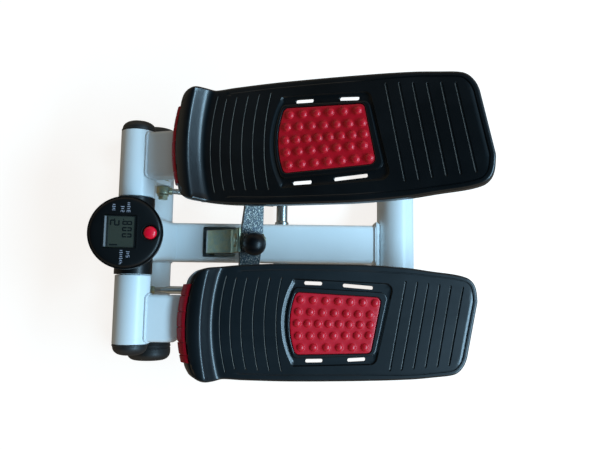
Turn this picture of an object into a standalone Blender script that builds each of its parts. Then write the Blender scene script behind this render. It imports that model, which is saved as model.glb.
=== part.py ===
"""Mini stepper: two hinged footplates, a tilted rocker that makes them alternate,
two hydraulic dampers, a welded tube frame and a small clip-on counter.

Metres, +Z up, +Y towards the heels, +X to the user's left.  The origin is on the
floor under the centre of the whole machine.  All driving sizes below are in
millimetres and are turned into metres by MM.
"""
import bpy
import bmesh
import math
from mathutils import Matrix, Vector

for ob in list(bpy.data.objects):
    bpy.data.objects.remove(ob, do_unlink=True)

MM = 0.001

# ------------------------------------------------------------------ driving sizes
GAP = 0.3                 # clearance between touching pieces
PIVOT_H = 103.0           # height of the pedal axle above the floor
Y_SHIFT = -162.403          # moves the axle forward so the machine is centred on the origin

FOOT_TUBE_R = 21.2        # 42.4 mm floor tubes
FOOT_TUBE_WALL = 2.0
FOOT_AXIS_Z = -79.5       # floor tube axis below the pedal axle
FOOT_TUBE_HALF = 118.0
REAR_TUBE_Y = 283.5
CAP_R = 24.2
CAP_IN = 112.0
CAP_OUT = 134.5

BEAM_HALF_W = 22.0
BEAM_TOP = -62.0
BEAM_BOTTOM = -94.0
BEAM_END = 258.2
BEAM_WALL = 2.0
SLOT_HALF_W = 17.0
SLOT_Y0, SLOT_Y1 = 61.0, 99.0

SLEEVE_R = 18.0
SLEEVE_WALL = 2.6
SLEEVE_IN = 40.6
SLEEVE_OUT = 110.0
HUB_R = 17.0
HUB_HALF = 40.0
AXLE_R = 8.0
AXLE_HALF = 104.0
END_CAP_OUT = 121.8

ARM_V0 = 60.0
ARM_STEP = [(4.0, 108.0), (45.5, 108.0), (49.5, 102.0), (296.0, 102.0)]   # station and outer side of the arm tube
ARM_H0, ARM_H1 = -14.3, 9.5
ARM_WALL = 2.0

LEFT_TILT = -3.65         # heel-up angle of each pedal at rest, degrees
RIGHT_TILT = 18.12

ROCKER_Y, ROCKER_Z = 118.0, -36.0
ROCKER_SLOPE = 18.0       # slope of the rocker pivot above the horizontal
ROCKER_REST = -16.3       # rocker turned about its pivot at rest
ROCKER_R = 85.0           # pivot to roller centre
ROCKER_HALF_T = 4.0
ROCKER_HALF_W = 11.5
ROLLER_R = 10.5
ROLLER_HALF_W = 5.2
PIVOT_BOLT_R = 5.0
KNOB_R = 12.5
KNOB_H = 17.5             # ball centre above the rocker pivot

DAMPER_X = 55.0
DAMPER_FRONT = (5.0, -44.0)       # u, h of the front bolt in the pedal's lug
DAMPER_REAR = (150.0, -87.0)      # y, z of the rear pin on the beam's side
DAMPER_R = 10.0
DAMPER_ROD_R = 4.3
DAMPER_BOLT_R = 3.5
DAMPER_PIN_R = 4.0
DAMPER_EYE_BORE = 4.7             # front eye: loose on its bolt, because the linkage is opened there

CONSOLE_TILT = -8.0
CONSOLE_R = 36.0
CONSOLE_Z = 28.5          # underside of the counter above the axle
CONSOLE_H = 14.5

FOOT_H = 13.7             # top face of the footplate above the axle plane
PLATE_UNDER = 9.8

# ------------------------------------------------------------------ helpers
MATS = {}


def material(name, rgb, rough, metal=0.0, alpha=1.0):
    if name in MATS:
        return MATS[name]
    m = bpy.data.materials.new(name)
    m.use_nodes = True
    b = m.node_tree.nodes["Principled BSDF"]
    b.inputs["Base Color"].default_value = (rgb[0], rgb[1], rgb[2], 1.0)
    b.inputs["Roughness"].default_value = rough
    b.inputs["Metallic"].default_value = metal
    b.inputs["Alpha"].default_value = alpha
    m.diffuse_color = (rgb[0], rgb[1], rgb[2], alpha)
    MATS[name] = m
    return m


def empty(name, loc, rot=None, parent=None):
    e = bpy.data.objects.new(name, None)
    bpy.context.scene.collection.objects.link(e)
    e.empty_display_size = 0.02
    if rot is not None:
        e.matrix_basis = Matrix.Translation(Vector(loc) * MM) @ rot.to_4x4()
    else:
        e.location = Vector(loc) * MM
    if parent is not None:
        e.parent = parent
    return e


def finish_mesh(bm, name, mat, parent=None, sharp=35.0):
    bmesh.ops.remove_doubles(bm, verts=bm.verts, dist=1e-4)
    bmesh.ops.recalc_face_normals(bm, faces=bm.faces)
    for v in bm.verts:
        v.co *= MM
    me = bpy.data.meshes.new(name)
    bm.to_mesh(me)
    bm.free()
    me.shade_smooth()
    me.set_sharp_from_angle(angle=math.radians(sharp))
    ob = bpy.data.objects.new(name, me)
    bpy.context.scene.collection.objects.link(ob)
    if mat is not None:
        me.materials.append(mat)
    if parent is not None:
        ob.parent = parent
    return ob


def add_rings(bm, rings, closed_ring=False, caps=True):
    """Bridge a list of closed point rings; closed_ring joins the last to the first."""
    vr = [[bm.verts.new(p) for p in r] for r in rings]
    n = len(vr[0])
    pairs = list(zip(vr[:-1], vr[1:]))
    if closed_ring:
        pairs.append((vr[-1], vr[0]))
    for a, b in pairs:
        for i in range(n):
            j = (i + 1) % n
            bm.faces.new((a[i], a[j], b[j], b[i]))
    if caps and not closed_ring:
        bm.faces.new(vr[0][::-1])
        bm.faces.new(vr[-1])
    return vr


def axis_matrix(axis, at=(0, 0, 0)):
    z = Vector(axis).normalized()
    ref = Vector((0, 0, 1)) if abs(z.z) < 0.9 else Vector((0, 1, 0))
    x = ref.cross(z).normalized()
    y = z.cross(x)
    m = Matrix((x, y, z)).transposed().to_4x4()
    return Matrix.Translation(Vector(at)) @ m


def add_turned(bm, profile, seg, axis=(0, 0, 1), at=(0, 0, 0), hole=False):
    """Turn a profile of (radius, height) points; radius 0 at an end makes a tip."""
    m = axis_matrix(axis, at)
    rings = []
    tips = {}
    for k, (r, z) in enumerate(profile):
        if r <= 1e-6:
            tips[k] = bm.verts.new(m @ Vector((0, 0, z)))
            rings.append(None)
            continue
        rings.append([bm.verts.new(m @ Vector((r * math.cos(2 * math.pi * i / seg),
                                               r * math.sin(2 * math.pi * i / seg), z)))
                      for i in range(seg)])
    pairs = [(k, k + 1) for k in range(len(profile) - 1)]
    if hole:
        pairs.append((len(profile) - 1, 0))
    for a, b in pairs:
        ra, rb = rings[a], rings[b]
        for i in range(seg):
            j = (i + 1) % seg
            if ra is None:
                bm.faces.new((tips[a], rb[j], rb[i]))
            elif rb is None:
                bm.faces.new((ra[i], ra[j], tips[b]))
            else:
                bm.faces.new((ra[i], ra[j], rb[j], rb[i]))
    if not hole:
        if rings[0] is not None:
            bm.faces.new(rings[0][::-1])
        if rings[-1] is not None:
            bm.faces.new(rings[-1])


def turned(name, profile, mat, seg=32, axis=(0, 0, 1), at=(0, 0, 0), hole=False, parent=None):
    bm = bmesh.new()
    add_turned(bm, profile, seg, axis, at, hole)
    return finish_mesh(bm, name, mat, parent)


def tube_profile(r_out, r_in, z0, z1):
    return [(r_in, z0), (r_out, z0), (r_out, z1), (r_in, z1)]


def rod_profile(r, z0, z1, c=0.4):
    return [(r - c, z0), (r, z0 + c), (r, z1 - c), (r - c, z1)]


def rounded_rect(w0, w1, h0, h1, r, n=4):
    """Points (w, h) of a rectangle with round corners, counter-clockwise."""
    pts = []
    for cw, ch, a0 in ((w1 - r, h1 - r, 0), (w0 + r, h1 - r, 90), (w0 + r, h0 + r, 180), (w1 - r, h0 + r, 270)):
        for i in range(n + 1):
            a = math.radians(a0 + 90.0 * i / n)
            pts.append((cw + r * math.cos(a), ch + r * math.sin(a)))
    return pts


def add_prism(bm, pts, place, t0, t1):
    """Extrude a polygon: place(p, t) gives the point of outline point p at depth t."""
    a = [bm.verts.new(place(p, t0)) for p in pts]
    b = [bm.verts.new(place(p, t1)) for p in pts]
    n = len(pts)
    for i in range(n):
        j = (i + 1) % n
        bm.faces.new((a[i], a[j], b[j], b[i]))
    bm.faces.new(a[::-1])
    bm.faces.new(b)


def add_box(bm, lo, hi):
    add_prism(bm, [(lo[0], lo[1]), (hi[0], lo[1]), (hi[0], hi[1]), (lo[0], hi[1])],
              lambda p, t: Vector((p[0], p[1], t)), lo[2], hi[2])


def add_hex(bm, r, z0, z1, axis, at):
    add_turned(bm, [(r - 0.5, z0), (r, z0 + 0.5), (r, z1 - 0.5), (r - 0.5, z1)], 6, axis, at)


def box_obj(name, lo, hi, mat, bevel=0.6, parent=None):
    bm = bmesh.new()
    add_box(bm, lo, hi)
    if bevel > 0:
        bmesh.ops.recalc_face_normals(bm, faces=bm.faces)
        bmesh.ops.bevel(bm, geom=list(bm.edges), offset=bevel, segments=1, affect='EDGES')
    return finish_mesh(bm, name, mat, parent)


def cutter(name, build, parent=None):
    bm = bmesh.new()
    build(bm)
    ob = finish_mesh(bm, name, None, parent)
    ob.hide_render = True
    ob.display_type = 'WIRE'
    return ob


def cut(ob, tool, op='DIFFERENCE'):
    m = ob.modifiers.new("cut_" + tool.name, 'BOOLEAN')
    m.operation = op
    m.object = tool
    m.solver = 'EXACT'
    return m


# ------------------------------------------------------------------ finishes
WHITE = material("white_paint", (0.72, 0.76, 0.80), 0.28)
ZINC = material("zinc_plate", (0.55, 0.54, 0.42), 0.35, 0.9)
STEEL = material("bright_steel", (0.62, 0.62, 0.60), 0.25, 1.0)
HAMMER = material("hammer_grey", (0.22, 0.25, 0.27), 0.4, 0.6)
BLACK = material("black_plastic", (0.018, 0.022, 0.026), 0.38)
RUBBER = material("black_rubber", (0.02, 0.02, 0.022), 0.7)
RED = material("red_rubber", (0.50, 0.012, 0.03), 0.45)
RED_CLEAR = material("red_reflector", (0.45, 0.02, 0.03), 0.15)
RED_BUTTON = material("red_button", (0.60, 0.01, 0.03), 0.2)
LCD = material("lcd_grey", (0.25, 0.28, 0.22), 0.3)
CLEAR = material("clear_lens", (0.75, 0.80, 0.80), 0.05, 0.0, 0.3)
BOARD = material("circuit_green", (0.05, 0.22, 0.08), 0.5)
NYLON = material("natural_nylon", (0.75, 0.74, 0.68), 0.45)

AXLE = empty("axle_line", (0.0, Y_SHIFT, PIVOT_H))

# ------------------------------------------------------------------ floor tubes and caps
for nm, y in (("front_floor_tube", 0.0), ("rear_floor_tube", REAR_TUBE_Y)):
    turned(nm, tube_profile(FOOT_TUBE_R, FOOT_TUBE_R - FOOT_TUBE_WALL, -FOOT_TUBE_HALF, FOOT_TUBE_HALF),
           WHITE, 28, (1, 0, 0), (0, y, FOOT_AXIS_Z), True, AXLE)

for nm, y in (("front", 0.0), ("rear", REAR_TUBE_Y)):
    for side, sd in (("left", 1.0), ("right", -1.0)):
        bm = bmesh.new()
        ri = FOOT_TUBE_R + GAP
        prof = [(ri, CAP_IN), (CAP_R, CAP_IN), (CAP_R, CAP_OUT - 9.0)]
        for i in range(1, 3):
            a = math.radians(90.0 * i / 3)
            prof.append((CAP_R - 9.0 * (1 - math.cos(a)), CAP_OUT - 9.0 + 9.0 * math.sin(a)))
        prof += [(CAP_R - 9.0, CAP_OUT), (0.0, CAP_OUT)]
        inner = [(0.0, FOOT_TUBE_HALF + GAP), (ri, FOOT_TUBE_HALF + GAP)]
        add_turned(bm, inner + prof, 28, (sd, 0, 0), (0, y, FOOT_AXIS_Z))
        for v in bm.verts:
            v.co.z = max(v.co.z, -PIVOT_H)
        finish_mesh(bm, "%s_foot_cap_%s" % (nm, side), RUBBER, AXLE)

# ------------------------------------------------------------------ beam, end plate, neck, hub, axle
T0_CUT = cutter("cut_front_tube", lambda b: add_turned(b, [(FOOT_TUBE_R + GAP, -60), (FOOT_TUBE_R + GAP, 60)],
                                                       48, (1, 0, 0), (0, 0, FOOT_AXIS_Z)), AXLE)
HUB_CUT = cutter("cut_hub", lambda b: add_turned(b, [(HUB_R + GAP, -60), (HUB_R + GAP, 60)],
                                                 48, (1, 0, 0), (0, 0, 0)), AXLE)

bm = bmesh.new()
outer = rounded_rect(-BEAM_HALF_W, BEAM_HALF_W, BEAM_BOTTOM, BEAM_TOP, 5.0)
inner = rounded_rect(-BEAM_HALF_W + BEAM_WALL, BEAM_HALF_W - BEAM_WALL,
                     BEAM_BOTTOM + BEAM_WALL, BEAM_TOP - BEAM_WALL, 3.0)
Y0 = 8.0
rings = [[Vector((x, Y0, z)) for x, z in outer], [Vector((x, BEAM_END, z)) for x, z in outer],
         [Vector((x, BEAM_END, z)) for x, z in inner], [Vector((x, Y0, z)) for x, z in inner]]
add_rings(bm, rings, closed_ring=True)
beam = finish_mesh(bm, "center_beam", WHITE, AXLE)
cut(beam, T0_CUT)
SLOT_CUT = cutter("cut_slot", lambda b: add_prism(
    b, rounded_rect(-SLOT_HALF_W, SLOT_HALF_W, SLOT_Y0, SLOT_Y1, 2.0, 2),
    lambda p, t: Vector((p[0], p[1], t)), BEAM_TOP - 8.0, BEAM_TOP + 5.0), AXLE)
cut(beam, SLOT_CUT)

PLATE = cutter("join_end_plate", lambda b: add_prism(
    b, rounded_rect(-26.0, 26.0, -97.0, -60.5, 5.0, 3),
    lambda p, t: Vector((p[0], t, p[1])), BEAM_END - 1.0, BEAM_END + 3.3), AXLE)
cut(beam, PLATE, 'UNION')

bm = bmesh.new()
rings = []
for z, y0, y1, hw in ((BEAM_TOP + GAP, -6.0, 44.0, 24.0), (-58.0, -8.0, 36.0, 24.0), (-50.0, -10.0, 29.0, 24.0),
                      (-40.0, -12.0, 24.0, 24.0), (-28.0, -13.5, 19.0, 24.5), (-14.0, -14.5, 15.0, 25.5),
                      (-6.0, -15.0, 13.5, 26.0)):
    rings.append([Vector((x, y, z)) for x, y in rounded_rect(-hw, hw, y0, y1, 6.0, 3)])
add_rings(bm, rings)
neck = finish_mesh(bm, "front_neck", WHITE, AXLE)
cut(neck, T0_CUT)
cut(neck, HUB_CUT)

turned("hub_tube", tube_profile(HUB_R, AXLE_R + GAP, -HUB_HALF, HUB_HALF), WHITE, 28, (1, 0, 0), (0, 0, 0), True, AXLE)
turned("axle_shaft", rod_profile(AXLE_R, -AXLE_HALF, AXLE_HALF, 0.8), STEEL, 18, (1, 0, 0), (0, 0, 0), False, AXLE)

for side, sd in (("left", 1.0), ("right", -1.0)):
    turned("axle_end_screw_" + side, [(0.0, AXLE_HALF + GAP), (11.5, AXLE_HALF + GAP), (11.5, AXLE_HALF + 2.0),
                                      (6.0, AXLE_HALF + 2.0), (6.0, AXLE_HALF + 5.0), (5.0, AXLE_HALF + 5.8),
                                      (0.0, AXLE_HALF + 5.8)], ZINC, 18, (sd, 0, 0), (0, 0, 0), False, AXLE)

# ------------------------------------------------------------------ rocker bracket and pivot bolt
sl = math.radians(ROCKER_SLOPE)
K = Vector((0.0, -math.cos(sl), math.sin(sl)))       # rocker pivot, forwards and up
NRM = Vector((0.0, math.sin(sl), math.cos(sl)))      # top of the rocker at mid travel
P0 = Vector((0.0, ROCKER_Y, ROCKER_Z))


def offset_strip(line, t):
    """Closed outline of a bent plate of thickness t round a centre line of (y, z)."""
    left, right = [], []
    for i, p in enumerate(line):
        p = Vector(p)
        d0 = (p - Vector(line[i - 1])).normalized() if i > 0 else None
        d1 = (Vector(line[i + 1]) - p).normalized() if i < len(line) - 1 else None
        d = d0 if d1 is None else d1 if d0 is None else (d0 + d1).normalized()
        s = 1.0 if d0 is None or d1 is None else 1.0 / max(0.5, d.dot(d0))
        nn = Vector((-d.y, d.x)) * (t / 2.0 * s)
        left.append(p + nn)
        right.append(p - nn)
    return [(q.x, q.y) for q in left] + [(q.x, q.y) for q in reversed(right)]


chk = P0 + K * 15.0
c_lo = chk - NRM * 13.0
c_hi = chk + NRM * 9.5
line = [(68.0, BEAM_BOTTOM + BEAM_WALL + GAP), (68.0, -60.5), (68.8, -58.0), (71.0, -56.0)]
line += [(c_lo.y - 4.0, c_lo.z - 2.2), (c_lo.y - 1.2, c_lo.z - 0.2), (c_lo.y + 0.6, c_lo.z + 2.0), (c_hi.y, c_hi.z)]
bm = bmesh.new()
add_prism(bm, offset_strip(line, 5.0), lambda p, t: Vector((t, p[0], p[1])), -13.0, 13.0)
bracket = finish_mesh(bm, "rocker_bracket", ZINC, AXLE)
cut(bracket, cutter("cut_pivot_hole", lambda b: add_turned(
    b, [(PIVOT_BOLT_R + GAP, 9.0), (PIVOT_BOLT_R + GAP, 22.0)], 20, K, P0), AXLE))

bm = bmesh.new()
add_turned(bm, [(0.0, 24.0), (8.0, 24.0), (8.5, 23.5), (8.5, 17.5 + GAP), (PIVOT_BOLT_R, 17.5 + GAP),
                (PIVOT_BOLT_R, -12.5), (8.4, -12.5), (8.4, -18.5), (4.6, -18.5), (4.6, -21.0), (0.0, -21.0)],
           18, K, P0)
finish_mesh(bm, "rocker_pivot_bolt", STEEL, AXLE)

# ------------------------------------------------------------------ rubber stops, rear pins of the dampers
for side, sd in (("left", 1.0), ("right", -1.0)):
    y = REAR_TUBE_Y
    bm = bmesh.new()
    add_turned(bm, [(13.0, -60.0), (13.0, -56.0), (11.5, -54.0), (10.5, -36.0), (9.0, -33.4), (0.0, -33.4)],
               24, (0, 0, 1), (sd * 84.0, y - 1.5, 0))
    stop = finish_mesh(bm, "stop_bumper_" + side, RUBBER, AXLE)
    cut(stop, cutter("cut_stop_" + side, lambda b: add_turned(
        b, [(FOOT_TUBE_R + GAP, 60), (FOOT_TUBE_R + GAP, 110)], 48, (sd, 0, 0), (0, y, FOOT_AXIS_Z)), AXLE))

for side, sd in (("left", 1.0), ("right", -1.0)):
    # stub pin on the beam's side, with a shoulder before the damper's rear eye and a head after it
    turned("damper_rear_pin_" + side, [(0.0, 22.0 + GAP), (8.0, 22.0 + GAP), (8.0, 26.3), (6.5, 27.3), (6.5, 49.4), (DAMPER_PIN_R, 49.4),
                                       (DAMPER_PIN_R, 60.7), (6.8, 60.7), (6.8, 63.7), (5.8, 64.7), (0.0, 64.7)],
           STEEL, 20, (sd, 0, 0), (0, DAMPER_REAR[0], DAMPER_REAR[1]), False, AXLE)

# ------------------------------------------------------------------ footplate surface rules
def lerp_table(tab, x):
    if x <= tab[0][0]:
        return tab[0][1]
    for (x0, y0), (x1, y1) in zip(tab[:-1], tab[1:]):
        if x <= x1:
            return y0 + (y1 - y0) * (x - x0) / (x1 - x0)
    return tab[-1][1]


V_IN = [(57.5, 50), (59.5, 44), (63, 38.5), (68, 34.5), (75, 32.3), (86, 30.5), (110, 28.2), (150, 26.4), (220, 26.0),
        (270, 28.0), (300, 31.0), (325, 34.0), (338, 37.0), (346, 41.5), (351, 48.0), (354, 56.0)]
V_OUT = [(57.5, 126), (59.5, 132), (63, 138.5), (68, 142.5), (73, 144.5), (81, 145.0), (90, 143.4), (110, 144.4),
         (160, 145.4), (220, 145.0), (265, 143.4), (300, 141.3), (325, 138.8), (338, 136.2), (346, 131.8), (351, 125.0),
         (354, 116.0)]
BOW = [(57.5, 5.0), (73, 6.5), (90, 9.0), (160, 9.0), (245, 0.0), (354, 0.0)]
SLANT = [(57.5, 0.0), (165, 0.0), (265, -0.187), (354, -0.21)]
TOP = [(57.5, 23.5), (59.5, 26.0), (63, 28.0), (67, 28.6), (73, 26.6), (79, 20.6), (85, 15.6), (91, 13.9), (98, 13.7),
       (330, 13.7), (344, 11.6), (350, 8.5), (354, 5.0)]
LOW = [(57.5, 10.4), (63, 10.4), (76, 9.0), (90, 2.0), (110, 0.0), (330, 0.0), (354, 0.0)]
RAKE = [(57.5, 7.5), (63, 6.5), (68, 4.5), (76, 0.0), (354, 0.0)]


def plate_uv(U, q):
    """Plan position of station U and cross position q (0 inner side, 1 outer side)."""
    v = lerp_table(V_IN, U) * (1 - q) + lerp_table(V_OUT, U) * q
    u = U + lerp_table(BOW, U) * ((2 * q - 1) ** 2 - 0.35) + lerp_table(SLANT, U) * (v - 86.0)
    return u, v


def rotate_x(deg):
    return Matrix.Rotation(math.radians(deg), 3, 'X')


def pedal_point(u, h, tilt):
    a = math.radians(tilt)
    return (u * math.cos(a) - h * math.sin(a), u * math.sin(a) + h * math.cos(a))


for side, sd, tilt in (("left", 1.0, LEFT_TILT), ("right", -1.0, RIGHT_TILT)):
    PIV = empty("pedal_pivot_" + side, (0, 0, 0), rotate_x(tilt), AXLE)

    sleeve = turned("pedal_sleeve_" + side, tube_profile(SLEEVE_R, SLEEVE_R - SLEEVE_WALL, SLEEVE_IN, SLEEVE_OUT),
                    WHITE, 28, (sd, 0, 0), (0, 0, 0), True, PIV)
    # lug welded under the sleeve for the damper's front bolt
    fu, fh = DAMPER_FRONT
    lug = []
    for i in range(11):
        a = math.radians(-190.0 + 20.0 * i)
        lug.append((fu + 8.0 * math.cos(a), fh + 8.0 * math.sin(a)))
    for i in range(7):
        a = math.radians(-53.0 - 12.0 * i)
        lug.append(((SLEEVE_R - 1.1) * math.cos(a), (SLEEVE_R - 1.1) * math.sin(a)))
    cut(sleeve, cutter("join_lug_" + side, lambda b: add_prism(
        b, lug, lambda p, t: Vector((sd * t, p[0], p[1])), 60.0, 65.0), PIV), 'UNION')
    cut(sleeve, cutter("cut_lug_hole_" + side, lambda b: add_turned(
        b, [(DAMPER_BOLT_R + GAP, 56), (DAMPER_BOLT_R + GAP, 69)], 16, (sd, 0, 0), (0, fu, fh)), PIV))
    turned("damper_front_bolt_" + side, [(0.0, 45.0), (5.0, 45.0), (5.8, 45.8), (5.8, 50.2), (DAMPER_BOLT_R, 50.2),
                                         (DAMPER_BOLT_R, 65.3), (5.8, 65.3), (5.8, 69.6), (5.0, 70.4), (0.0, 70.4)],
           ZINC, 12, (sd, 0, 0), (0, fu, fh), False, PIV)
    turned("sleeve_bush_" + side, tube_profile(SLEEVE_R - SLEEVE_WALL - GAP, AXLE_R + GAP, SLEEVE_IN, SLEEVE_OUT - 7.0),
           NYLON, 18, (sd, 0, 0), (0, 0, 0), True, PIV)
    prof = [(0.0, SLEEVE_OUT + GAP)]
    prof += [(SLEEVE_R - 0.6, SLEEVE_OUT + GAP), (SLEEVE_R, SLEEVE_OUT + 1.2)]
    for i in range(1, 4):
        a = math.radians(90.0 * i / 4)
        prof.append((SLEEVE_R * math.cos(a) ** 0.7, SLEEVE_OUT + 1.2 + (END_CAP_OUT - SLEEVE_OUT - 1.2) * math.sin(a)))
    prof.append((0.0, END_CAP_OUT))
    turned("sleeve_end_cap_" + side, prof, RUBBER, 28, (sd, 0, 0), (0, 0, 0), False, PIV)

    # rectangular arm tube, coped round the sleeve
    bm = bmesh.new()
    rings = []
    for u, v1 in ARM_STEP:
        rings.append([Vector((sd * v, u, h)) for v, h in rounded_rect(ARM_V0, v1, ARM_H0, ARM_H1, 4.5, 3)])
    for u, v1 in reversed(ARM_STEP):
        rings.append([Vector((sd * v, u, h)) for v, h in rounded_rect(
            ARM_V0 + ARM_WALL, v1 - ARM_WALL, ARM_H0 + ARM_WALL, ARM_H1 - ARM_WALL, 2.5, 3)])
    add_rings(bm, rings, closed_ring=True)
    arm = finish_mesh(bm, "pedal_arm_" + side, WHITE, PIV)
    cut(arm, cutter("cut_arm_sleeve_" + side, lambda b: add_turned(
        b, [(SLEEVE_R + GAP, 50), (SLEEVE_R + GAP, 118)], 48, (sd, 0, 0), (0, 0, 0)), PIV))
    SCREWS = [("front", 172.0, 84.0), ("rear", 245.0, 84.0)]

    def holes(b):
        for _nm, u, v in SCREWS:
            add_turned(b, [(4.3, ARM_H0 - 6.0), (4.3, 12.2)], 14, (0, 0, 1), (sd * v, u, 0))

    SCREW_CUT = cutter("cut_screws_" + side, holes, PIV)
    cut(arm, SCREW_CUT)
    for nm, u, v in SCREWS:
        turned("footplate_bolt_%s_%s" % (nm, side),
               [(0.0, ARM_H0 - 5.6), (5.8, ARM_H0 - 5.6), (6.8, ARM_H0 - 4.6), (6.8, ARM_H0 - GAP), (4.0, ARM_H0 - GAP),
                (4.0, 11.2), (3.4, 11.8), (0.0, 11.8)], ZINC, 14, (0, 0, 1), (sd * v, u, 0), False, PIV)

    # folded steel shoe under the arm that the roller carries
    bm = bmesh.new()
    shoe = [(98.0, ARM_H0 - GAP), (98.0, -37.2), (100.5, -39.7), (130.5, -39.7), (133.0, -37.2), (133.0, ARM_H0 - GAP),
            (129.0, ARM_H0 - GAP), (129.0, -35.2), (102.0, -35.2), (102.0, ARM_H0 - GAP)]
    add_prism(bm, shoe, lambda p, t: Vector((sd * t, p[0], p[1])), 74.5, 95.5)
    finish_mesh(bm, "roller_shoe_" + side, WHITE, PIV)

    # footplate: a run of channel-shaped cross sections along the foot
    stations = [57.5, 59.5, 63, 67, 73, 79, 85, 91, 98, 125, 160, 200, 240, 270, 300, 325, 338, 346, 351, 354]
    rings = []
    for k, U in enumerate(stations):
        hi = lerp_table(TOP, U)
        lo = lerp_table(LOW, U)
        wall = U < 59.0 or U > 352.0
        under = lo + 0.6 if wall else max(lo + 0.6, min(PLATE_UNDER + max(0.0, hi - FOOT_H), hi - 2.4))
        edge = 2.0
        w = abs(plate_uv(U, 1.0)[1] - plate_uv(U, 0.0)[1])
        t = 2.8 / w
        ring = []
        for q, h in ((0.0, lo), (0.0, hi - edge), (edge / w, hi), (0.25, hi), (0.5, hi), (0.75, hi), (1 - edge / w, hi),
                     (1.0, hi - edge), (1.0, lo), (1 - t, lo), (1 - t, under), (0.75, under), (0.5, under), (0.25, under),
                     (t, under), (t, lo)):
            u, v = plate_uv(U, q)
            u -= lerp_table(RAKE, U) * min(1.0, max(0.0, (hi - h) / 13.0))
            ring.append(Vector((sd * v, u, h)))
        rings.append(ring)
    bm = bmesh.new()
    vr = add_rings(bm, rings, caps=False)
    for r in (vr[0], vr[-1]):
        bm.faces.new([r[i] for i in (0, 1, 2, 14, 15)])
        bm.faces.new([r[i] for i in (6, 7, 8, 9, 10)])
        for k in range(4):
            bm.faces.new((r[2 + k], r[3 + k], r[13 - k], r[14 - k]))
    plate = finish_mesh(bm, "footplate_" + side, BLACK, PIV)

    pad = [(167.5, 57.0), (163.0, 72.0), (161.0, 87.0), (163.0, 103.0), (168.0, 118.0), (245.5, 116.5), (251.0, 88.0),
           (256.5, 60.0)]

    def grow(pts, d):
        cu = sum(p[0] for p in pts) / len(pts)
        cv = sum(p[1] for p in pts) / len(pts)
        out = []
        for p in pts:
            r = math.hypot(p[0] - cu, p[1] - cv)
            out.append((cu + (p[0] - cu) * (r + d) / r, cv + (p[1] - cv) * (r + d) / r))
        return out

    SLOTS = [((176, 45.7), (196, 46.2)), ((216, 47.6), (249, 50.0)), ((178, 124.8), (197, 124.4)),
             ((221, 123.8), (241, 122.6))]

    def plate_cuts(b):
        add_prism(b, grow(pad, GAP + 0.2), lambda p, t: Vector((sd * p[1], p[0], t)), 12.0, 20.0)
        for (u0, v0), (u1, v1) in SLOTS:
            add_prism(b, [(u0, v0 - 2.1), (u1, v1 - 2.1), (u1 + 1.6, v1), (u1, v1 + 2.1), (u0, v0 + 2.1), (u0 - 1.6, v0)],
                      lambda p, t: Vector((sd * p[1], p[0], t)), 4.0, 20.0)

    cut(plate, cutter("cut_plate_" + side, plate_cuts, PIV))
    cut(plate, SCREW_CUT)
    bm = bmesh.new()
    add_prism(bm, pad, lambda p, t: Vector((sd * p[1], p[0], t)), 12.0 + GAP, 15.6)
    finish_mesh(bm, "foot_pad_" + side, RED, PIV)

    # reflector strip on the sloping toe wall
    bm = bmesh.new()
    rings = []
    for i in range(9):
        v = 45.0 + 81.0 * i / 8
        q = (v - 50.0) / 76.0
        base = 57.5 + 5.0 * ((2 * q - 1) ** 2 - 0.35)
        # strip face and back, both parallel to the raked wall
        rings.append([Vector((sd * v, base - 7.5 * (23.5 - h) / 13.0 + du, h)) for du, h in
                      ((-1.0, 22.6), (-2.4, 22.2), (-2.9, 18.0), (-2.8, 11.4), (-1.0, 10.8))])
    add_rings(bm, rings)
    finish_mesh(bm, "toe_reflector_" + side, RED_CLEAR, PIV)

    # damper: rod with its front eye, and cylinder with its rear eye
    fy, fz = pedal_point(DAMPER_FRONT[0], DAMPER_FRONT[1], tilt)
    A = Vector((sd * DAMPER_X, fy, fz))
    Bp = Vector((sd * DAMPER_X, DAMPER_REAR[0], DAMPER_REAR[1]))
    D = (Bp - A).normalized()
    L = (Bp - A).length
    DP = empty("damper_pivot_" + side, A, None, AXLE)
    bm = bmesh.new()
    add_turned(bm, [(0.0, 6.5), (3.3, 6.5), (3.3, 20.0), (DAMPER_ROD_R, 23.5), (DAMPER_ROD_R, 118.0), (3.6, 119.0), (0.0, 119.0)],
               16, D, (0, 0, 0))
    rod = finish_mesh(bm, "damper_rod_" + side, STEEL, DP)
    eye = cutter("join_front_eye_" + side, lambda b: add_turned(
        b, [(DAMPER_EYE_BORE, -4.2), (7.4, -4.2), (7.4, 4.2), (DAMPER_EYE_BORE, 4.2)], 18, (1, 0, 0), (0, 0, 0), True), DP)
    cut(rod, eye, 'UNION')
    bm = bmesh.new()
    e = L - 8.0
    c0 = L - 101.875          # the cylinder is as long on both sides
    add_turned(bm, [(0.0, e - 8.0), (DAMPER_ROD_R + GAP, e - 8.0), (DAMPER_ROD_R + GAP, c0), (8.4, c0), (8.8, c0 + 0.6),
                    (8.8, c0 + 5.0), (DAMPER_R, c0 + 5.4), (DAMPER_R, e - 3.0), (DAMPER_R - 2.0, e), (0.0, e)],
               16, D, (0, 0, 0))
    EP = empty("damper_slide_" + side, (0, 0, 0), None, DP)
    cyl = finish_mesh(bm, "damper_cylinder_" + side, BLACK, EP)
    eye2 = cutter("join_rear_eye_" + side, lambda b: add_turned(
        b, [(DAMPER_PIN_R + GAP, -5.0), (9.5, -5.0), (9.5, 5.0), (DAMPER_PIN_R + GAP, 5.0)], 18, (1, 0, 0), D * L, True), DP)
    cut(cyl, eye2, 'UNION')

# ------------------------------------------------------------------ rocker, rollers, knob
ROT = Matrix.Rotation(math.radians(ROCKER_REST), 3, K)
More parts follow.
